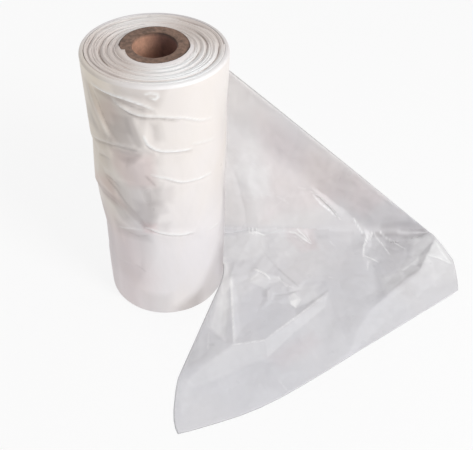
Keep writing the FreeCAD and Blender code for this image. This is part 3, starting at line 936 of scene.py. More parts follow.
# Painted light on the top: it is painted lighter in front, to the right, and at the back, to the
# left, with two waves round it, one with a single crest and one with two, as (share, shift in
# degrees).
ONE_CREST, TWO_CRESTS = (0.35, 40), (0.65, 130)
lit = (ONE_CREST[0] * np.cos(np.radians(turns + ONE_CREST[1]))
       + TWO_CRESTS[0] * np.cos(np.radians(2 * turns + TWO_CRESTS[1])))[:, None]
at_back = np.sin(np.radians(turns)).clip(0)[:, None] ** 2
upper_left = ((fading * np.clip((-112 - past_seam) / 30, 0, 1))[:, :1]
              * np.clip((levels - 44) / 60, 0, 1))
cream = np.clip((levels - 70) / 60, 0, 1) * (1 - 0.7 * on_top)
# On the top: a painted highlight where it is lit, painted shade where it is not and at the back.
crease, hollow, rosy = np.zeros((3, *radius.shape))
crease[:, on_top] = (0.75 * lit - 0.15).clip(0, 1)
hollow[:, on_top] = (0.20 - 0.45 * lit + 0.4 * at_back).clip(0, 1)
crease[:, on_side], hollow[:, on_side] = white_lines.clip(0, 1), shade.clip(0, 1)
rosy[:, on_side] = blush
tip_left = np.interp([angle for angle, reach in TORN_TIP], (-150, -110), (1, 0))


def with_tip(values, on_left, in_front):
    """Values for the side, followed by those for the innermost film."""
    on_tip = in_front + (on_left - in_front) * tip_left
    return np.append(values.reshape(-1), np.repeat(on_tip, ring_size))


# The torn tip is painted darker, with a rosy tint, on the left, as shade.
keep_values(side_mesh, crease=with_tip(crease, 0.0, 0.0), hollow=with_tip(hollow, 0.55, 0.16),
            blush=with_tip(rosy, 0.4, 0.1),
            tint=with_tip(0.02 + 0.30 * cream + 0.50 * upper_left, 0.5, 0.1))
wound_piece = add_object("wound_bags", side_mesh)
wound_piece.data.materials.append(wound_look)
print("Side faces:", len(side_mesh.polygons))

# %% [markdown]
# ## The edges of the turns
#
# At each end of the roll the edges of dozens of turns show as a spiral. They
# follow one rule, so Geometry Nodes make them: a spiral curve that grows
# outwards clockwise, pushed about so that the turns bunch into groups with
# soft gaps between them, and given a thin upright section. The sizes are
# named inputs, and the same tree makes the top and, with Up at -1, the foot.


# %% Node tree for the turns
def build_turns_tree():
    """Spiral of film edges whose turns bunch into groups."""
    tree, ins, outs = start_group(
        "turns_of_film", "GeometryNodeTree",
        {"Inner Radius": 0.0213, "Outer Radius": 0.0432, "Turns": 26.0,
         "Film Thickness": 0.00098, "Edge Depth": 0.0026, "Group Pitch": 0.0037,
         "Bunching": 0.00028, "Sag": 0.0012, "Shift": 0.0018, "Shift Angle": -1.9,
         "Rim Height": 0.2, "Up": 1.0, "Seed": 1.0, "Material": None}, Geometry="Geometry")

    spiral = add_node(tree, "GeometryNodeCurveSpiral",
                      {"Resolution": 84, "Rotations": ins["Turns"], "Height": 0.0, "Reverse": True,
                       "Start Radius": ins["Inner Radius"], "End Radius": ins["Outer Radius"]})
    position = Wire(add_node(tree, "GeometryNodeInputPosition"))
    parts = add_node(tree, "ShaderNodeSeparateXYZ", {0: position})
    angle = Wire(parts, "Y").math("ARCTAN2", Wire(parts, "X"))
    length = add_node(tree, "ShaderNodeVectorMath", {0: position}, operation="LENGTH")
    radius = Wire(length, "Value")
    outward = Wire(add_node(tree, "ShaderNodeVectorMath", {0: position}, operation="NORMALIZE"))
    share = (radius - ins["Inner Radius"]) / (ins["Outer Radius"] - ins["Inner Radius"])
    held = (share * math.pi).math("SINE")

    # The turns wander in and out of their groups, and the whole spiral is off centre.
    wander = noise_wire(tree, 42.0, 1.0, dimensions="4D", Vector=position, W=ins["Seed"])
    phase = radius / ins["Group Pitch"] * (2 * math.pi) + wander * 7.0
    bunch = phase.math("SINE") * ins["Bunching"] * held
    shift = ins["Shift"] * held * (angle - ins["Shift Angle"]).math("COSINE")
    moved = Wire(add_node(tree, "ShaderNodeVectorMath", {0: outward, "Scale": bunch + shift},
                          operation="SCALE"))

    # Between the groups they sag, and are painted darker there as shade, least of all in front and
    # at the back.
    low = (phase.math("COSINE") * 0.5 + 0.5).math("POWER", 3.0)
    patchy = noise_wire(tree, 30.0, dimensions="4D", Vector=position, W=ins["Seed"] + 5.0)
    rings = noise_wire(tree, 1.0, 0.0, dimensions="1D", W=radius * 330.0 + ins["Seed"])
    uneven = rings.scaled(4.0, -1.2).math("MAXIMUM", 0.1)
    depth = ins["Sag"] * low * (patchy * 2.0) * held * uneven
    low = low * uneven * angle.math("COSINE").math("POWER", 2.0).scaled(0.7, 0.3)

    # No two turns end at quite the same height.
    wound = share * ins["Turns"] - angle / (2 * math.pi)
    step = Wire(add_node(tree, "ShaderNodeTexWhiteNoise",
                         {"W": wound.math("ROUND") + ins["Seed"]}, noise_dimensions="1D"), "Value")
    level = ins["Edge Depth"] * -0.5 - step.scaled(0.00028, depth)
    drop = Wire(add_node(tree, "ShaderNodeCombineXYZ", {"Z": level * ins["Up"]}))
    offset = Wire(add_node(tree, "ShaderNodeVectorMath", {0: moved, 1: drop}, operation="ADD"))
    placed = add_node(tree, "GeometryNodeSetPosition",
                      {"Geometry": Wire(spiral, "Curve"), "Offset": offset})

    # The same painted light and shade as on the rim are put on them.
    one_crest = (angle + math.radians(ONE_CREST[1])).math("COSINE") * ONE_CREST[0]
    two_crests = angle.scaled(2.0, math.radians(TWO_CRESTS[1])).math("COSINE")
    lit = two_crests.scaled(TWO_CRESTS[0], one_crest)
    bright = lit.scaled(0.8, 0.30).math("MINIMUM", 1.0).math("MAXIMUM", 0.0)
    dim = lit.scaled(-0.40, -0.04).math("MAXIMUM", 0.0)
    # A painted highlight away from the gaps; painted shade in the gaps and on the dim side, plus a
    # random darkening per turn.
    toned = placed
    for label, value in (("crease", (1.0 - low) * bright),
                         ("hollow", dim + step.scaled(0.16, low * 0.42))):
        toned = add_node(tree, "GeometryNodeStoreNamedAttribute",
                         {"Geometry": Wire(toned), "Name": label, "Value": value},
                         data_type="FLOAT", domain="POINT")

    upright = add_node(tree, "GeometryNodeSetCurveNormal", {"Curve": Wire(toned)}, mode="Z_UP")
    section = add_node(tree, "GeometryNodeCurvePrimitiveQuadrilateral",
                       {"Width": ins["Film Thickness"], "Height": ins["Edge Depth"]},
                       mode="RECTANGLE")
    ribbon = add_node(tree, "GeometryNodeCurveToMesh",
                      {"Curve": Wire(upright), "Profile Curve": Wire(section), "Fill Caps": True})
    raise_to = Wire(add_node(tree, "ShaderNodeCombineXYZ", {"Z": ins["Rim Height"]}))
    lifted = add_node(tree, "GeometryNodeTransform",
                      {"Geometry": Wire(ribbon), "Translation": raise_to})
    real = add_node(tree, "GeometryNodeRealizeInstances", {"Geometry": Wire(lifted)})
    finish = add_node(tree, "GeometryNodeSetMaterial",
                      {"Geometry": Wire(real), "Material": ins["Material"]})
    set_inputs(outs, {"Geometry": Wire(finish)})
    return tree


turns_tree = build_turns_tree()
print("Tree:", turns_tree.name, "with", len(turns_tree.nodes), "nodes")


# %% Run a tree and keep its mesh
def grown(name, tree, values):
    """The plain mesh that a tree makes with the given inputs."""
    holder = bpy.data.objects.new(name + "_maker", bpy.data.meshes.new(name + "_maker"))
    bpy.context.scene.collection.objects.link(holder)
    maker = holder.modifiers.new("maker", "NODES")
    maker.node_group = tree
    sockets = {item.name: item.identifier for item in tree.interface.items_tree
               if item.item_type == "SOCKET" and item.in_out == "INPUT"}
    for label, value in values.items():
        maker[sockets[label]] = value
    bpy.context.view_layer.update()
    ready = holder.evaluated_get(bpy.context.evaluated_depsgraph_get())
    mesh = bpy.data.meshes.new_from_object(ready)
    mesh.name = name
    holder.modifiers.remove(maker)
    bpy.data.objects.remove(holder)
    return add_object(name, mesh)


TURN_ROOM = {"Inner Radius": (CORE_RADIUS + 0.45) * MM,
             "Outer Radius": (ROLL_RADIUS - OUTER_BUNDLE - 0.25) * MM, "Material": edge_look}
top_turns = grown("top_turns", turns_tree,
                  {**TURN_ROOM, "Rim Height": BAG_WIDTH * MM, "Seed": 1.0})
foot_turns = grown("foot_turns", turns_tree,
                   {**TURN_ROOM, "Rim Height": 0.0, "Up": -1.0, "Seed": 4.0})
for piece in (top_turns, foot_turns):
    low, high = np.array(piece.bound_box)[[0, 6]] / MM
    print(piece.name, len(piece.data.polygons), "faces", low.round(1), high.round(1))

# %% [markdown]
# ## The leading bag
#
# The first bag is still flat, folded as it came off the machine: two walls,
# with a gusset tucked in along each side. It leaves the back of the roll
# standing on its edge, its upper edge runs down to the ground, and the rest
# lies flat up to the mouth. Both walls and the gussets use one rule that
# takes a place in the folded bag to a place in the room.

# %% Where the bag runs
QUARTER = math.pi / 2
INTO_ROLL = -on_circle(LEAVE_ANGLE)
ALONG = on_circle(LEAVE_ANGLE - QUARTER)
LEAVES_ROLL = on_circle(LEAVE_ANGLE, ROLL_RADIUS + FILM_GAP + FILM_WALL)
FOOT_RADIUS = ROLL_RADIUS + 0.8 * FILM_GAP
RELEASE = on_circle(RELEASE_ANGLE, FOOT_RADIUS)
NEAR_CORNER = RELEASE + LOWER_REACH * on_circle(RELEASE_ANGLE - QUARTER)
BEND_SHARES, BEND_SIZES = (0.25, 0.35, 0.50, 0.70, 0.85), (3.0, 3.0, 6.0, 17.0, 14.0)
# The three free edges of the lying part, beyond the places that are worked out.
NEAR_SIDE = ((-0.5, -111.5), (-1.6, -119.0), (-2.7, -126.5), (-3.0, -134.0), (-2.2, -140.0),
             (-0.8, -144.0))
MOUTH = ((-0.8, -144.0), (7.3, -142.9), (14.0, -141.6), (27.5, -138.8), (41.4, -135.6),
         (55.6, -131.3), (70.5, -125.4), (86.0, -118.2), (102.1, -110.4), (119.0, -101.8),
         (136.3, -92.8), (154.2, -84.0), (172.9, -74.6), (192.2, -64.8), (212.2, -55.0),
         (222.5, -49.8), (231.6, -44.6))
FAR_SIDE = ((232.0, 21.3), (233.6, 18.3), (235.3, 12.2), (237.0, 5.8), (238.0, -0.4),
            (239.0, -6.4), (239.9, -12.2), (239.0, -17.9), (237.8, -23.4), (236.5, -28.8),
            (235.2, -34.1), (233.6, -39.3), (231.6, -44.6))


def bend_size(share):
    """Radius of the bend at the ground: tight at the star, wide farther out."""
    return np.minimum(np.interp(share, BEND_SHARES, BEND_SIZES), BAG_WIDTH * (1 - share) / 2)


def bend_line(share):
    """Where the film has come to lie flat, in front of its hanging part."""
    share = np.atleast_1d(share)[:, None]
    return LEAVES_ROLL + ALONG * UPPER_REACH * share + INTO_ROLL * bend_size(share)


def lower_edge(forward):
    """The lower edge: round the foot of the roll, then out to the mouth."""
    start = bend_line(FIRST_SHARE)[0]
    meets = math.acos(start[0] / FOOT_RADIUS)
    round_foot = on_circle(np.linspace(meets, RELEASE_ANGLE, 40), FOOT_RADIUS)
    return along_line([start, *round_foot, NEAR_CORNER, *NEAR_SIDE], forward)


def far_edge(forward):
    """The upper edge, from where it meets the ground to the mouth."""
    return along_line([bend_line(LAST_SHARE)[0], *FAR_SIDE], forward)


def lying_places(across, forward):
    """Places on the ground for shares across and along the lying part."""
    share = FIRST_SHARE + (LAST_SHARE - FIRST_SHARE) * across
    a, f = across[:, None], forward[:, None]
    corners = ((1 - f) * ((1 - a) * bend_line(FIRST_SHARE) + a * bend_line(LAST_SHARE))
               + f * ((1 - a) * np.array(MOUTH[0]) + a * np.array(MOUTH[-1])))
    sides = (1 - a) * lower_edge(forward) + a * far_edge(forward)
    return sides + (1 - f) * bend_line(share) + f * along_line(MOUTH, across) - corners


print("The mouth runs from", MOUTH[0], "to", MOUTH[-1])

# %% [markdown]
# ## Creases in the leading bag
#
# Where the film turns from standing to lying it can't stretch, so it breaks
# into star-shaped creases: one at the bend close to the roll, and one farther
# out where the gusset's fold reaches the ground. A long flap lies across each
# corner of the mouth. Every line here gives places on the ground, or on the
# hanging part, with how far the front wall stands off.

# %% Creases of the lying part
LYING_CREASES = (
    # lines of (x, y, height)
    ((36, 41, 0.8), (58, 38, 1.0), (75, 36, 3.6), (86, 34.6, 1.6), (104.5, 33, 1.8),
     (122, 32, 1.5), (151.5, 33, 1.4), (173, 26, 2.2), (204, 22, 1.0), (230, 21, 0.8)),
    ((75, 36, 3.6), (70.2, 28, 2.2), (64.2, 16, 1.4), (54, -1, 1.2), (48.5, -16.6, 2.4)),
    ((75, 36, 3.6), (78.1, 27.7, 2.3), (81.4, 9.1, 1.5), (90.1, -10.9, 1.6), (101, -30.2, 2.2)),
    ((84, 26, 2.4), (88, 8, 2.0)),
    ((66, 6, 0.9), (67, -4, 1.2)),
    ((44, 22, 0.7), (42, 4, 0.6)),
    ((100, 12, 0.8), (106, -4, 0.9), (112, -22, 1.0)),
    ((64, -14, 0.9), (70.7, -9.1, 2.8), (77.6, -14.4, 2.6), (80.5, -18.5, 1.6)),
    ((80.5, -18.5, 1.6), (89, -17, 2.3), (92.9, -27.9, 1.4), (98.3, -30, 2.6)),
    ((64.9, -20.8, 0.9), (75.5, -27.8, 1.0), (89.3, -21.6, 1.2)),
    ((78.1, -29.5, 1.9), (75.7, -40.9, 1.8), (79, -41.2, 1.2), (81.6, -32.8, 1.6)),
    ((72.4, -29, 0.4), (71.9, -38, 0.5)),
    ((77, -44, 1.1), (66, -52, 1.0)),
    ((82, -35.4, 0.8), (91.5, -35.2, 1.0), (103.8, -32, 1.1)),
    ((92.3, -38.1, 1.6), (97.7, -35.5, 2.0), (101.8, -43, 1.8), (96.4, -50.4, 1.2),
     (92.4, -46.1, 1.2), (92.3, -38.1, 1.6)),
    ((104.5, 33, 1.8), (111.1, 29.4, 2.8), (117.1, 21.9, 2.6), (123.5, 16.2, 1.4)),
    ((107, 27.6, 0.9), (113, 21.6, 1.0), (119, 15.4, 1.1)),
    ((113, 32, 1.7), (118, 26.1, 3.0), (121.6, 18.9, 2.2)),
    ((121.5, 29, 1.2), (125, 17, 1.0)),
    ((139.3, 19, 1.6), (142.6, 11.9, 1.0)),
    ((48.5, -16.6, 2.4), (47, -45, 2.9), (43.9, -80.3, 3.6)),
    ((53, -24, 0.9), (50.5, -66, 1.1)),
    ((42, -28, 0.9), (36, -66, 0.9)),
    ((26.9, -62, 0.9), (27, -73.8, 2.0), (24.4, -82.2, 1.7)),
    ((3, -103, 1.0), (8.3, -104.5, 1.9), (19.6, -95.5, 2.8), (33, -87.4, 3.4),
     (43.9, -80.3, 3.6), (67.3, -78.9, 4.2), (93.2, -62, 4.6), (124.3, -38.6, 2.8)),
    ((4, -113, 0.9), (11.3, -111.7, 1.2), (31, -105.8, 1.6), (49.7, -98.6, 1.7),
     (66.9, -93, 1.8), (91, -73.4, 2.2), (118.9, -51.5, 2.2), (124.6, -41.5, 2.2)),
    ((20, -124, 0.8), (47.7, -114, 0.7), (68.6, -114, 0.7), (78, -98, 1.4), (105, -84, 1.8),
     (126, -68, 2.0)),
    ((173, 26, 2.2), (173.3, 15.9, 4.8), (167, 8.5, 3.4), (163.3, -2.8, 2.0)),
    ((183.5, 27, 2.0), (180.4, 22, 3.0), (173.3, 15.9, 4.8)),
    ((180.5, 22, 3.0), (189.9, 14.4, 2.4), (202.5, 4.3, 1.6)),
    ((179.8, 17.4, 3.2), (183.8, 10.9, 2.4), (187.2, -2.1, 1.5)),
    ((186, 7.4, 0.9), (196, 1.0, 1.0)),
    ((164.4, -1, 2.0), (169, -4.3, 1.6), (174.7, -9.6, 1.2)),
    ((166.8, -6.9, 1.4), (163, -17.8, 0.9)),
    ((160, 22, 0.9), (156, 4, 1.0)),
    ((173, 8, 1.1), (178, 3, 1.2)),
    ((232.2, 11.6, 2.0), (217.7, -7.8, 4.0), (206.3, -23.7, 4.6), (188.3, -34.6, 4.6),
     (170.6, -46.7, 4.4), (153.1, -59.9, 4.0), (139.8, -74.4, 3.2), (128.5, -93, 1.4)),
    ((217.7, -7.8, 4.0), (228.1, -11.7, 2.6), (236.5, -17.2, 1.0)),
    ((232.2, 11.6, 2.0), (231.2, -3.3, 2.8), (236.5, -17.2, 1.0)),
    ((222, -30, 1.0), (196, -50, 1.2), (170.8, -66, 1.0), (146, -86, 0.8)),
    ((172, -50.7, 2.8), (169.6, -66, 1.0)),
    ((188, -40, 2.6), (196, -49, 1.2)),
    ((210.2, 20, 1.4), (204.2, 6.1, 1.0), (200.5, -6.2, 1.1), (188.7, -20.2, 1.5),
     (174.7, -33.3, 2.0), (154, -46, 2.0)),
    ((192.9, -20.6, 1.3), (200.3, -15.7, 2.2), (207.8, -10.7, 2.0)),
    ((208, 13, 1.0), (212, 19.4, 1.9), (216.6, 15.6, 1.6), (212.1, 10.4, 1.0)),
    ((207, 4.8, 0.8), (213, -4, 1.0), (206, -16, 1.6)),
    ((146, 14, 0.9), (140, -12, 1.0), (132, -28, 1.3)),
)
# Outside these corners the film lies flat on the ground.
GROUND_LEVEL = 0.65
GROUND_LINES = (
    ((30, 46), (33, 20), (46, 6), (44, -14), (31, -32), (18, -61), (1, -99)),
    ((-4, -110), (-4, -140), (-1, -146), (28, -140), (66, -127), (104, -108), (146, -88),
     (190, -66), (233, -43), (241, -20), (241, -4), (238, 16), (232, 26)),
    ((-60, 60), (-60, -200), (300, -200), (300, 90), (-60, 90)),
)
print("Crease lines, lying:", len(LYING_CREASES))

# %% Creases of the hanging part
HANGING_CREASES = (
    # lines of (distance from the roll, height, how far the front wall stands out)
    ((0, 150, 0.3), (26, 128, 0.5), (49, 109, 0.9), (68, 99, 0.8), (85, 86.5, 0.8),
     (101, 74, 1.1), (114, 57, 2.0), (124.4, 44, 2.6), (134.3, 32.6, 2.4), (145.2, 17.5, 1.5),
     (156.8, 16.5, 1.8), (167, 5, 2.4)),
    ((116, 48, 0.8), (124.8, 39.4, 0.0), (133.8, 30, -0.2), (141.7, 20.7, 0.6)),
    ((118, 46, 1.2), (125.4, 35.9, 2.0), (133.5, 27.6, 1.8), (140, 20, 1.0)),
    ((120, 50, 0.5), (136, 38, 0.2), (148, 27, 0.5)),
    ((66, 4, 1.4), (63.5, 25.2, 0.6), (56.9, 53.8, 0.0), (51.8, 68.8, 0.2), (47.4, 83.1, 0.6)),
    ((75, 7, 2.6), (72.5, 25.4, 2.2), (65, 54, 2.0), (59.4, 76.2, 1.4), (54, 100, 0.8)),
    ((40, 6, 1.0), (38, 50, 1.2), (38, 90, 1.0)),
    ((24, 8, 0.4), (24, 110, 0.6), (22, 150, 0.4)),
    ((84.3, 46.6, 1.8), (99.7, 34.1, 1.0)),
    ((98.6, 45.3, 1.9), (87.9, 30.6, 1.0)),
    ((86, 58, 1.2), (104, 60, 1.6), (112, 36, 1.4), (98, 14, 0.8)),
    ((104, 6.6, 1.2), (110, 12, 1.6), (124, 7, 0.9)),
    ((175.3, 13, 2.2), (174, 30, 0.6)),
    ((190, 8, 1.0), (205, 12, 0.4)),
    ((24, 176, 0.2), (80, 122, -0.3), (140, 72, 0.5), (196, 24, 0.1)),
    ((0, 200, 0.4), (229, 0, 0.4)),
    ((0, 0, 0.3), (40, 0, 0.5), (75, 2, 2.6), (100, 1, 0.8), (150, 1, 0.8), (229, 0, 0.4)),
    ((-40, -40, 0.3), (-40, 260, 0.3), (280, 260, 0.3), (280, -40, 0.3), (-40, -40, 0.3)),
)
print("Crease lines, hanging:", len(HANGING_CREASES))

# %% A place in the bag to a place in the room
CREASE_SOFTNESS = 0.7
BEND_ROWS = 7
EDGE_ROUND = 3.0        # over this distance from an edge the two walls come together
MIDDLE = 0.4            # where they meet, between their two places
CRUMPLE = 0.9           # soft unevenness between the creases
SLIP = 2.6              # how far the upper edge has slipped below the rim of the roll
# Each layer: share of the creases that it takes on, and its own place.
LAYERS = {"front": (1.0, 0.65), "tucked_front": (0.75, 0.5), "tucked_back": (0.35, 0.3),
          "back": (0.12, 0.15)}


def upper_edge(shares):
    """Height of the upper edge."""
    return BAG_WIDTH * (1 - shares) - SLIP * (1 - shares) ** 3


def lifted(places, lines, base, crumple_size, seed):
    """How far creased and slightly crumpled film stands off its plane."""
    crumple = [noise.fractal(Vector((x / crumple_size, y / crumple_size, seed)), 0.7, 2.1, 3)
               for x, y in places]
    lift = faceted(places, lines, CREASE_SOFTNESS) - base + CRUMPLE * np.array(crumple)
    return lift.clip(0)


def joined(lift, gap):
    """The lift of one layer, brought to the middle near an edge the way a rounded fold is."""
    return MIDDLE + (lift - MIDDLE) * np.sqrt(np.clip(gap / EDGE_ROUND, 0, 1))


def hanging_points(way, level, gap, layer):
    """Points on the hanging part, for a layer; gap is the way to an edge."""
    shape, own_place = LAYERS[layer]
    out = lifted(np.stack([way, level], axis=-1), HANGING_CREASES, 0, 26.0, 2.0)
    out = np.minimum(out * shape + own_place, 0.65 + way ** 2 / (2.4 * ROLL_RADIUS))
    plane = LEAVES_ROLL + way[:, None] * ALONG + INTO_ROLL * joined(out, gap)[:, None]
    return np.column_stack([plane, level])


def lying_points(ground, gap, layer):
    """Points on the lying part, for a layer; gap is the way to an edge."""
    shape, own_place = LAYERS[layer]
    flat_lines = tuple(tuple((x, y, GROUND_LEVEL) for x, y in line) for line in GROUND_LINES)
    lift = lifted(ground, LYING_CREASES + flat_lines, GROUND_LEVEL, 24.0, 7.0)
    return np.column_stack([ground, joined(lift * shape + own_place, gap)])


def layer_grid(shares, levels, forwards, layer):
    """One layer, as a grid with a column of points for each share."""
    across = np.clip((shares - FIRST_SHARE) / (LAST_SHARE - FIRST_SHARE), 0, 1)
    way = np.broadcast_to((shares * UPPER_REACH)[:, None], levels.shape)
    gap = np.minimum(upper_edge(shares)[:, None] - levels, way)
    standing = hanging_points(way.reshape(-1), levels.reshape(-1), gap.reshape(-1), layer)
    standing = standing.reshape(*levels.shape, 3)
    a = np.broadcast_to(across[:, None], forwards.shape).reshape(-1)
    f = forwards.reshape(-1)
    gap = np.minimum.reduce([a, 1 - a, 1 - f]) * BAG_WIDTH
    lying = lying_points(lying_places(a, f), gap, layer).reshape(*forwards.shape, 3)
    start, end = standing[:, -1], lying[:, 0]
    beside = shares < FIRST_SHARE - 1e-6        # here the bag ends at the roll's foot
    bend = np.zeros((len(shares), BEND_ROWS, 3))
    for row in range(BEND_ROWS):
        turn = QUARTER * (row + 1) / (BEND_ROWS + 1)
        eased = np.array([1 - math.cos(turn), 1 - math.cos(turn), math.sin(turn)])
        bend[:, row] = start + (end - start) * eased
        bend[beside, row, :2] = start[beside, :2]
        bend[beside, row, 2] = np.interp(row + 1, (0, BEND_ROWS), (bend_size(0), MIDDLE))
    return np.concatenate([standing, bend, lying], axis=1)


def pocket(name, near, far, lands=0, standing_rows=0):
    """Two layers joined all round their border; before a column only their top rows are kept."""
    columns, rows = near.shape[:2]
    column, row = np.meshgrid(np.arange(columns - 1), np.arange(rows - 1), indexing="ij")
    kept = (column >= lands) | (row < standing_rows - 1)
    first = column[kept] * rows + row[kept]
    ring = np.stack([first, first + rows, first + rows + 1, first + 1], axis=-1)
    edges = np.concatenate([ring[:, [side, (side + 1) % 4]] for side in range(4)])
    pairs, counts = np.unique(np.sort(edges, axis=1), axis=0, return_counts=True)
    border = np.unique(pairs[counts == 1])
    near, far = near.reshape(-1, 3).copy(), far.reshape(-1, 3).copy()
    near[border] = (near[border] + far[border]) / 2
    partner = np.arange(len(far)) + len(near)
    partner[border] = border
    faces = np.concatenate([ring, partner[ring][:, ::-1]])
    used, packed = np.unique(faces, return_inverse=True)
    return mesh_from(name, np.concatenate([near, far])[used], packed.reshape(faces.shape)), used


print("Layers:", ", ".join(LAYERS))

# %% The two walls
BAG_COLUMNS = 240
HANGING_ROWS = 58
LYING_ROWS = 140

shares = np.linspace(0, LAST_SHARE, BAG_COLUMNS + 1)
tops, bends = upper_edge(shares)[:, None], bend_size(shares)[:, None]
levels = tops + (bends - tops) * np.linspace(0, 1, HANGING_ROWS)
forwards = np.broadcast_to(np.linspace(0, 1, LYING_ROWS + 1), (len(shares), LYING_ROWS + 1))
front, back = [layer_grid(shares, levels, forwards, layer) for layer in ("front", "back")]
first_lying = BAG_COLUMNS * 3 // 20         # the column at FIRST_SHARE
bag_mesh, bag_used = pocket("drawn_bag", front, back, first_lying, HANGING_ROWS + BEND_ROWS)
print("Bag faces:", len(bag_mesh.polygons))

# %% White lines and milky patches
# Creased film turns white, and the white lines also carry painted highlights on the creases. The
# milky patches are cloudier film, and some are painted light, as beside the roll. Lines of places,
# strength; corners of patches, strength, softness.
LYING_WHITE = (
    (((72.2, 41), (71.2, 31.5)), 1.0), (((75.3, 41), (74, 31)), 1.2),
    (((78.6, 40), (77.4, 31)), 0.9), (((70, 32.4), (78.5, 33.2), (85, 30)), 1.1),
    (((85, 34.6), (104, 33.6), (112, 34)), 0.18), (((88.5, -20), (95, -28.9)), 0.6),
    (((105.8, 31.6), (111.1, 29.4), (117.1, 21.9), (123.5, 16.2)), 1.3),
    (((113, 32.7), (118, 26.1), (121.6, 18.9)), 1.2), (((121, 28.5), (123.7, 17)), 0.45),
    (((106, 34.4), (112.3, 35), (118, 33)), 0.5), (((108, 27.6), (113, 24), (118, 16.6)), 0.35),
    (((69, -8), (77.6, -14.4), (81.5, -19.4)), 1.4), (((63, -20), (73.2, -12.4)), 0.35),
    (((87.8, -16.9), (92.9, -27.9), (99, -30.6)), 0.6), (((78.1, -29.5), (75.7, -40.9)), 0.45),
    (((79, -41.2), (81.6, -32.8)), 0.3),
    (((49.8, -15), (48.1, -31), (43.9, -81)), 0.75),
    (((42, -80.6), (67.3, -78.9), (71, -77)), 0.65),
    (((67.3, -78.9), (93.2, -62), (124.8, -38)), 0.75), (((27, -66), (24.4, -83)), 0.35),
    (((167.2, 40), (169.5, 28), (172.8, 15)), 1.8), (((183, 33), (179.6, 24.5), (173.3, 14)), 1.4),
    (((174, 19.5), (167, 8.5), (163.3, -3.6)), 1.6), (((179, 26), (189.9, 15.6), (203, 3)), 0.8),
    (((178, 22), (183.8, 10.9), (187.6, -3)), 0.9),
    (((163.6, -0.4), (169, -4.3), (175.6, -10)), 0.8),
    (((166.8, -6.9), (163, -17.8)), 0.6), (((139.3, 19), (142.6, 11.9)), 0.25),
    (((128.7, -20.7), (133, -22.7)), 0.2), (((192, -21), (200.3, -15.7), (208.4, -10)), 0.3),
    (((218, -8), (228.1, -11.7), (236.6, -17.4)), 0.5),
    (((231.9, 11), (231.2, -3.3), (236.4, -17)), 0.35),
    (((232.2, 12), (217.7, -7.8), (206.3, -23.7)), 0.2), (((72, -111), (77, -121)), 0.25),
)
LYING_MILKY = (
    (((64.4, -16.2), (72, -12.3), (77.1, -17.4), (89, -17), (89.3, -21.6), (79.6, -23.7),
      (75.5, -27.8), (64.9, -20.8)), 0.34, 2.0),
    (((92.3, -38.1), (97.7, -35.5), (101.8, -43), (96.4, -50.4), (92.4, -46.1)), 0.50, 1.0),
    (((93.4, -43), (99, -42), (96.4, -50), (93, -46.4)), 0.40, 1.2),
    (((67.2, -80), (93, -63.5), (124, -39.2), (118.9, -52.5), (91, -73.4),
      (66.9, -93)), 0.20, 1.6),
    (((43.9, -80.3), (67.3, -78.9), (66.9, -93), (49.7, -98.6), (31, -105.8), (11.3, -111.7),
      (7, -105.5), (19.6, -95.5), (33, -87.4)), 0.20, 3.0),
    (((231.8, 10.6), (217.7, -7.8), (228, -12), (236.5, -16.5)), 0.40, 1.5),
    (((232.6, 12.6), (217.7, -7.8), (206.3, -23.7), (188.3, -34.6), (170.6, -46.7),
      (153.1, -59.9), (139.8, -74.4), (128, -95), (232, -44), (240, -12)), 0.08, 2.0),
    (((233, 13), (217.7, -7.8), (206.3, -23.7), (216, -38), (240, -30), (242, -8)), 0.18, 7.0),
    (((48.5, -16.6), (43.9, -80.3), (46, -80), (50.5, -20)), 0.15, 1.5),
    (((40, 36), (124, 34), (118, 10), (96, 0), (52, -40), (40, -60), (36, -40),
      (42, 0)), 0.36, 7.0),
    (((207, 10), (211, 16.5), (217, 15.5), (218, 11), (212, 7)), 0.16, 2.0),
    # Beside the roll's foot: painted light that the roll throws on the bag.
    (((42, 4), (50, 2), (50, -24), (42, -30)), 0.50, 4.0),
    (((206, -5), (219, -5), (219, -14), (210, -17)), 0.26, 3.0),
    (((97, -29), (117, -29), (117, -46), (97, -46)), 0.26, 5.0),
    (((3, -104), (10, -107), (9, -120), (3, -130), (0, -116)), 0.20, 4.0),
    # Beside the roll's foot: painted light that the roll throws on the bag.
    (((40, 12), (47.5, 8), (46.5, -20), (43, -50), (38, -76), (28, -62), (38, -24)), 0.52, 3.5),
    (((44, 35), (86, 33), (82, 10), (60, 2), (45, 8)), 0.26, 5.0),
    (((170, 16), (186, 14), (180, -6), (166, -10)), 0.26, 7.0),
    (((172, -27), (190, -20), (204, -6), (214, 16), (232, 18), (218, -6), (206, -23), (188, -34),
      (170, -46)), 0.34, 4.0),
)
HANGING_WHITE = (
    (((115, 49), (124.4, 43.3), (134.3, 32.2), (146, 16)), 1.3),
    (((118, 45), (125.4, 35.9), (133.5, 28.3), (141.7, 19.6)), 1.1),
    (((122.6, 42), (130, 33.5)), 0.5), (((132, 36), (139, 27.3)), 0.4),
    (((84.3, 46.6), (99.7, 34.1)), 0.22), (((98.6, 45.3), (87.9, 30.6)), 0.2),
    (((74, 44), (86, 44.5)), 0.2), (((104, 54), (112, 51)), 0.2),
    (((156, 20), (160, 12.5), (167, 5)), 1.6),
)
HANGING_MILKY = (
    (((36, 58), (60, 58), (62, 86), (36, 86)), 0.22, 6.0),
    (((80, 6), (112, 6), (108, 46), (84, 46)), 0.18, 7.0),
    (((52, 74), (80, 74), (84, 42), (56, 44)), 0.36, 6.0),
    (((59.4, 76.2), (52, 92), (60, 98), (80, 76), (84, 30), (76, 8), (70, 8),
      (66, 50)), 0.20, 8.0),
)
print("White lines:", len(LYING_WHITE) + len(HANGING_WHITE))

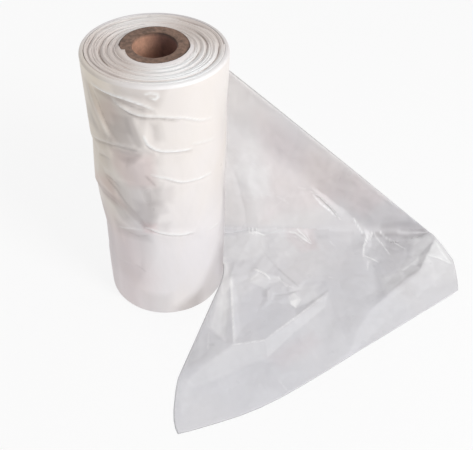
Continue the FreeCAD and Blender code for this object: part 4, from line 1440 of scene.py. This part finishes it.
# %% Dark lines, shaded and rosy patches
# Beside a crease the film is painted darker, as painted shade.
LYING_DARK = (
    (((71, 30.6), (64.2, 17), (53.4, -2)), 0.45),
    (((78.1, 28.5), (81.4, 9.1), (90.1, -10.9)), 0.42),
    (((88, -6), (93.6, -15), (103, -31)), 0.75), (((80, -36.2), (91.5, -35.9), (104, -33)), 0.45),
    (((103.5, -50.4), (112.7, -44), (126, -35.6)), 0.6),
    (((115, 30.6), (120, 24), (123, 15)), 0.35),
    (((107, 29), (113, 23.4), (118, 16)), 0.3), (((24, -77.8), (30.2, -78.6)), 0.5),
    (((216, -6), (205.6, -21), (187.5, -32.4)), 0.3), (((169.4, 36), (173.8, 22)), 0.3),
    (((74.8, -17), (79, -21.5)), 0.35), (((60, 34.6), (71, 33)), 0.25),
)
# Painted shade; along the bend it also dims the light that the bend catches.
LYING_SHADE = (
    (((9.9, -80.8), (30, -78), (21.6, -92.6), (5, -97.3)), 0.30, 5.0),
    (((53.7, -95.9), (73.1, -99.9), (68.6, -115.7), (47.7, -113.5)), 0.16, 8.0),
    (((72.4, -29), (77, -29.4), (76.1, -38.1), (71.9, -36.2)), 0.30, 2.0),
    (((182, 18), (196, 11), (204, 2), (188, 0)), 0.12, 5.0),
    (((164, 27), (168, 19), (222, 14), (229, 22), (204, 30)), 0.80, 3.0),
    (((126, 31), (164, 29), (164, 20), (130, 22)), 0.34, 4.0),
    (((180, 21), (208, 17), (213, 3), (204, 0), (186, 11)), 0.26, 4.0),
    (((176, -34), (186, -32), (200, -40), (190, -52)), 0.25, 5.0),
    (((124, -5), (166, -5), (158, -50), (140, -72), (112, -84), (124, -50)), 0.20, 9.0),
)
LYING_BLUSH = ((((105, 42), (128, 34), (128, 10), (112, 8), (103, 24)), 0.8, 5.0),
               (((66, -92), (104, -74), (108, -84), (76, -104)), 0.5, 8.0))
HANGING_DARK = ((((117, 45.6), (125, 39.8), (134, 30), (143, 18)), 0.5),
                (((64.6, 10), (63.5, 25.2), (56.9, 53.8), (50, 74)), 0.35))
# Painted shade on the standing film, also just above the bend.
HANGING_SHADE = (
    (((36, 6), (60, 6), (60, 25.2), (55, 48), (50, 58), (40, 62)), 0.18, 5.0),
    (((40, 88), (64, 88), (62, 120), (40, 120)), 0.12, 8.0),
    (((162, 42), (196, 26), (190, 8), (170, 8), (164, 24)), 0.16, 8.0),
    (((178, 4), (228, 3), (222, 12), (206, 15), (182, 12)), 0.44, 4.0),
    (((182, 21), (208, 18), (208, 5), (182, 5)), 0.18, 4.0),
    (((134, 76), (152, 64), (150, 50), (134, 60)), 0.22, 6.0),
    (((74, 118), (146, 62), (150, 40), (120, 54), (104, 76), (80, 94)), 0.16, 8.0),
)
# Rosy patches on the standing film: painted warm light.
HANGING_BLUSH = (
    (((66, 126), (150, 64), (150, 40), (112, 28), (78, 14), (74, 90)), 0.62, 14.0),
    (((150, 64), (180, 42), (166, 22), (150, 30)), 0.6, 10.0),
)
print("Dark lines:", len(LYING_DARK) + len(HANGING_DARK))

# %% Tones of the bag
TALLEST_CREASE = 6.0
BAG_WHITE_WIDTH, BAG_DARK_WIDTH = 1.3, 1.7
# Painted light: beside the roll the bag is made as white as the turns that it comes off, for the
# light that they throw on it.
ROLL_BOUNCE_WHITE, ROLL_BOUNCE_REACH = 0.75, 34.0


def way_out(points):
    """How far along the upper edge's run a point is from the roll."""
    return (points[:, :2] - LEAVES_ROLL) @ ALONG


def marked(places, lines, patches, width):
    """Strength of the lines and patches at each place."""
    value = np.zeros(len(places))
    for line, strength in lines:
        value = np.maximum(value, strength * line_mask(places, line, width, broken=0.45))
    for corners, strength, softness in patches:
        value += strength * patch_mask(places, corners, softness)
    return value


def bag_marks(points, lying, hanging, width=BAG_WHITE_WIDTH):
    """The marks of the lying part or of the hanging part, whichever a point is on."""
    return np.where(points[:, 2] > TALLEST_CREASE,
                    marked(np.column_stack([way_out(points), points[:, 2]]), *hanging, width),
                    marked(points[:, :2], *lying, width))


def roll_bounce_white(points):
    """Painted light: how much whiter the bag is close to where it leaves the roll."""
    near_roll = np.clip(1 - way_out(points) / ROLL_BOUNCE_REACH, 0, 1)
    return ROLL_BOUNCE_WHITE * near_roll * (points[:, 2] > TALLEST_CREASE)


def bag_light_tint(points):
    """Painted light: warmer and lighter where the film stands, most of all near the roll, cooler
    and darker where it lies and far out.
    """
    stands = np.clip((points[:, 2] - 4) / 8, 0, 1)
    before = (points[:, :2] - LEAVES_ROLL) @ INTO_ROLL
    lying = 0.08 + 0.30 * np.clip(1 - before / 80, 0, 1)
    hanging = 0.95 - 0.75 * np.clip(way_out(points) / UPPER_REACH, 0, 1) ** 1.3
    return hanging * stands + lying * (1 - stands)


def finish_film(mesh, **values):
    """Keep the values that the film material reads, and put the piece in the scene."""
    keep_values(mesh, tint=bag_light_tint(mesh_points(mesh)), **values)
    piece = add_object(mesh.name, mesh)
    piece.data.materials.append(drawn_look)
    print(piece.name, "faces:", len(mesh.polygons))
    return piece


front_points, back_points = front.reshape(-1, 3), back.reshape(-1, 3)
# White marks are crease whitening and painted highlight; shade marks are painted shade.
white = bag_marks(front_points, (LYING_WHITE, LYING_MILKY), (HANGING_WHITE, HANGING_MILKY))
shade = bag_marks(front_points, (LYING_DARK, LYING_SHADE), (HANGING_DARK, HANGING_SHADE),
                  BAG_DARK_WIDTH)
blush = bag_marks(front_points, ((), LYING_BLUSH), ((), HANGING_BLUSH))
nothing = np.zeros(len(back_points))
crease = np.concatenate([white + roll_bounce_white(front_points), roll_bounce_white(back_points)])
bag_piece = finish_film(bag_mesh, crease=crease.clip(0, 1)[bag_used],
                        hollow=np.concatenate([shade, nothing]).clip(0, 1)[bag_used],
                        blush=np.concatenate([blush, nothing])[bag_used])

# %% [markdown]
# ## The tucked gussets
#
# Each long side of the bag is folded inwards, so along the edges the film is
# four layers thick instead of two, and looks greyer. The upper gusset hangs
# inside the drawn part and comes down to the ground at its far end, as far as
# the flap at the mouth. The lower one shows beside the lower edge.

# %% Upper gusset
GUSSET_DROP = 46.0
GUSSET_COLUMNS = 160
GUSSET_ROWS = 26
GUSSET_LYING_ROWS = 44
GUSSET_LANDS = 0.70     # from here on the tucked film reaches the ground
LYING_BELOW = 1.5 * TALLEST_CREASE
FLAP_LINE = ((120, -125), (129, -93), (138.7, -76.5), (150.3, -62.7), (176.6, -42.7),
             (203.2, -25.9), (230.5, 9.7), (245, 28))


def reach_of_flap(across):
    """How far forward the lying part runs before it meets the flap's fold."""
    tries = np.linspace(0, 1, 161)
    reach = []
    for share in across:
        path = lying_places(np.full(len(tries), share), tries)
        line = np.interp(path[:, 0], *np.array(FLAP_LINE, float).T)
        beyond = np.nonzero(path[:, 1] < line)[0]
        reach.append(tries[beyond[0]] if len(beyond) else 1.0)
    return np.array(reach)[:, None]


shares = np.linspace(0, LAST_SHARE, GUSSET_COLUMNS + 1)
lands = int(round(GUSSET_COLUMNS * GUSSET_LANDS / LAST_SHARE))
tops, bends = upper_edge(shares)[:, None], bend_size(shares)[:, None]
hem = np.maximum(bends, tops - GUSSET_DROP)
hem[lands:] = bends[lands:]
levels = tops + (hem - tops) * np.linspace(0, 1, GUSSET_ROWS)
across = np.clip((shares - FIRST_SHARE) / (LAST_SHARE - FIRST_SHARE), 0, 1)
forwards = reach_of_flap(across) * np.linspace(0, 1, GUSSET_LYING_ROWS + 1)
tucked = [layer_grid(shares, levels, forwards, layer) for layer in ("tucked_front", "tucked_back")]
gusset_mesh, _ = pocket("upper_gusset", *tucked, lands, GUSSET_ROWS)

points = mesh_points(gusset_mesh)
way = way_out(points) / UPPER_REACH
lying = points[:, 2] <= LYING_BELOW
to_fold = np.where(lying, GUSSET_DROP, GUSSET_DROP - (BAG_WIDTH * (1 - way) - points[:, 2]))
faint = np.where(lying, np.interp(way, (GUSSET_LANDS, GUSSET_LANDS + 0.12), (1.0, 0.0)),
                 np.interp(way, (0.1, 0.35, 0.55), (0.65, 0.30, 0.0)))
soft = np.interp(way, (0.1, 0.4, 0.55), (22.0, 14.0, 4.0))
# The tucked film is painted darker as shade, and whiter beside the roll as painted light from the
# roll.
upper_gusset = finish_film(gusset_mesh, hollow=np.where(lying, 0.06, 0.25),
                           crease=0.5 * np.clip(1 - way * UPPER_REACH / ROLL_BOUNCE_REACH, 0, 1),
                           thin=np.maximum(faint, 1 - np.clip(to_fold / soft, 0, 1)))

# %% Lower gusset
LOWER_FOLD = ((56, 30), (53, 8), (48.5, -16.6), (47, -45), (43.3, -81.1))
LOWER_COLUMNS, LOWER_ROWS = 30, 70
LOWER_FIRST, LOWER_LAST = 0.10, 0.735
LOWER_WIDTH = 40
LOWER_THIN = 0.94

step = np.linspace(0, 1, LOWER_ROWS + 1)
side = np.linspace(0, 1, LOWER_COLUMNS + 1)[:, None]
outer = lower_edge(LOWER_FIRST + (LOWER_LAST - LOWER_FIRST) * step)
ground = outer * (1 - side[..., None]) + along_line(LOWER_FOLD, step) * side[..., None]
gap = np.broadcast_to(side * LOWER_WIDTH, ground.shape[:2]).reshape(-1)
tucked = [lying_points(ground.reshape(-1, 2), gap, layer).reshape(*ground.shape[:2], 3)
          for layer in ("tucked_front", "tucked_back")]
gusset_mesh, used = pocket("lower_gusset", *tucked)
lower_gusset = finish_film(gusset_mesh, thin=np.full(len(used), LOWER_THIN))

# %% [markdown]
# ## Riding on the frame
#
# Nothing on the roll moves, so every piece rides on the one body. The dressed
# pieces stand for the three plain solids.

# %% Ride and replace
for piece in (core_piece, wound_piece, top_turns, foot_turns, bag_piece, upper_gusset,
              lower_gusset):
    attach(piece, "root")
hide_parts("core")
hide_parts("bag_roll")
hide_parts("leading_bag")
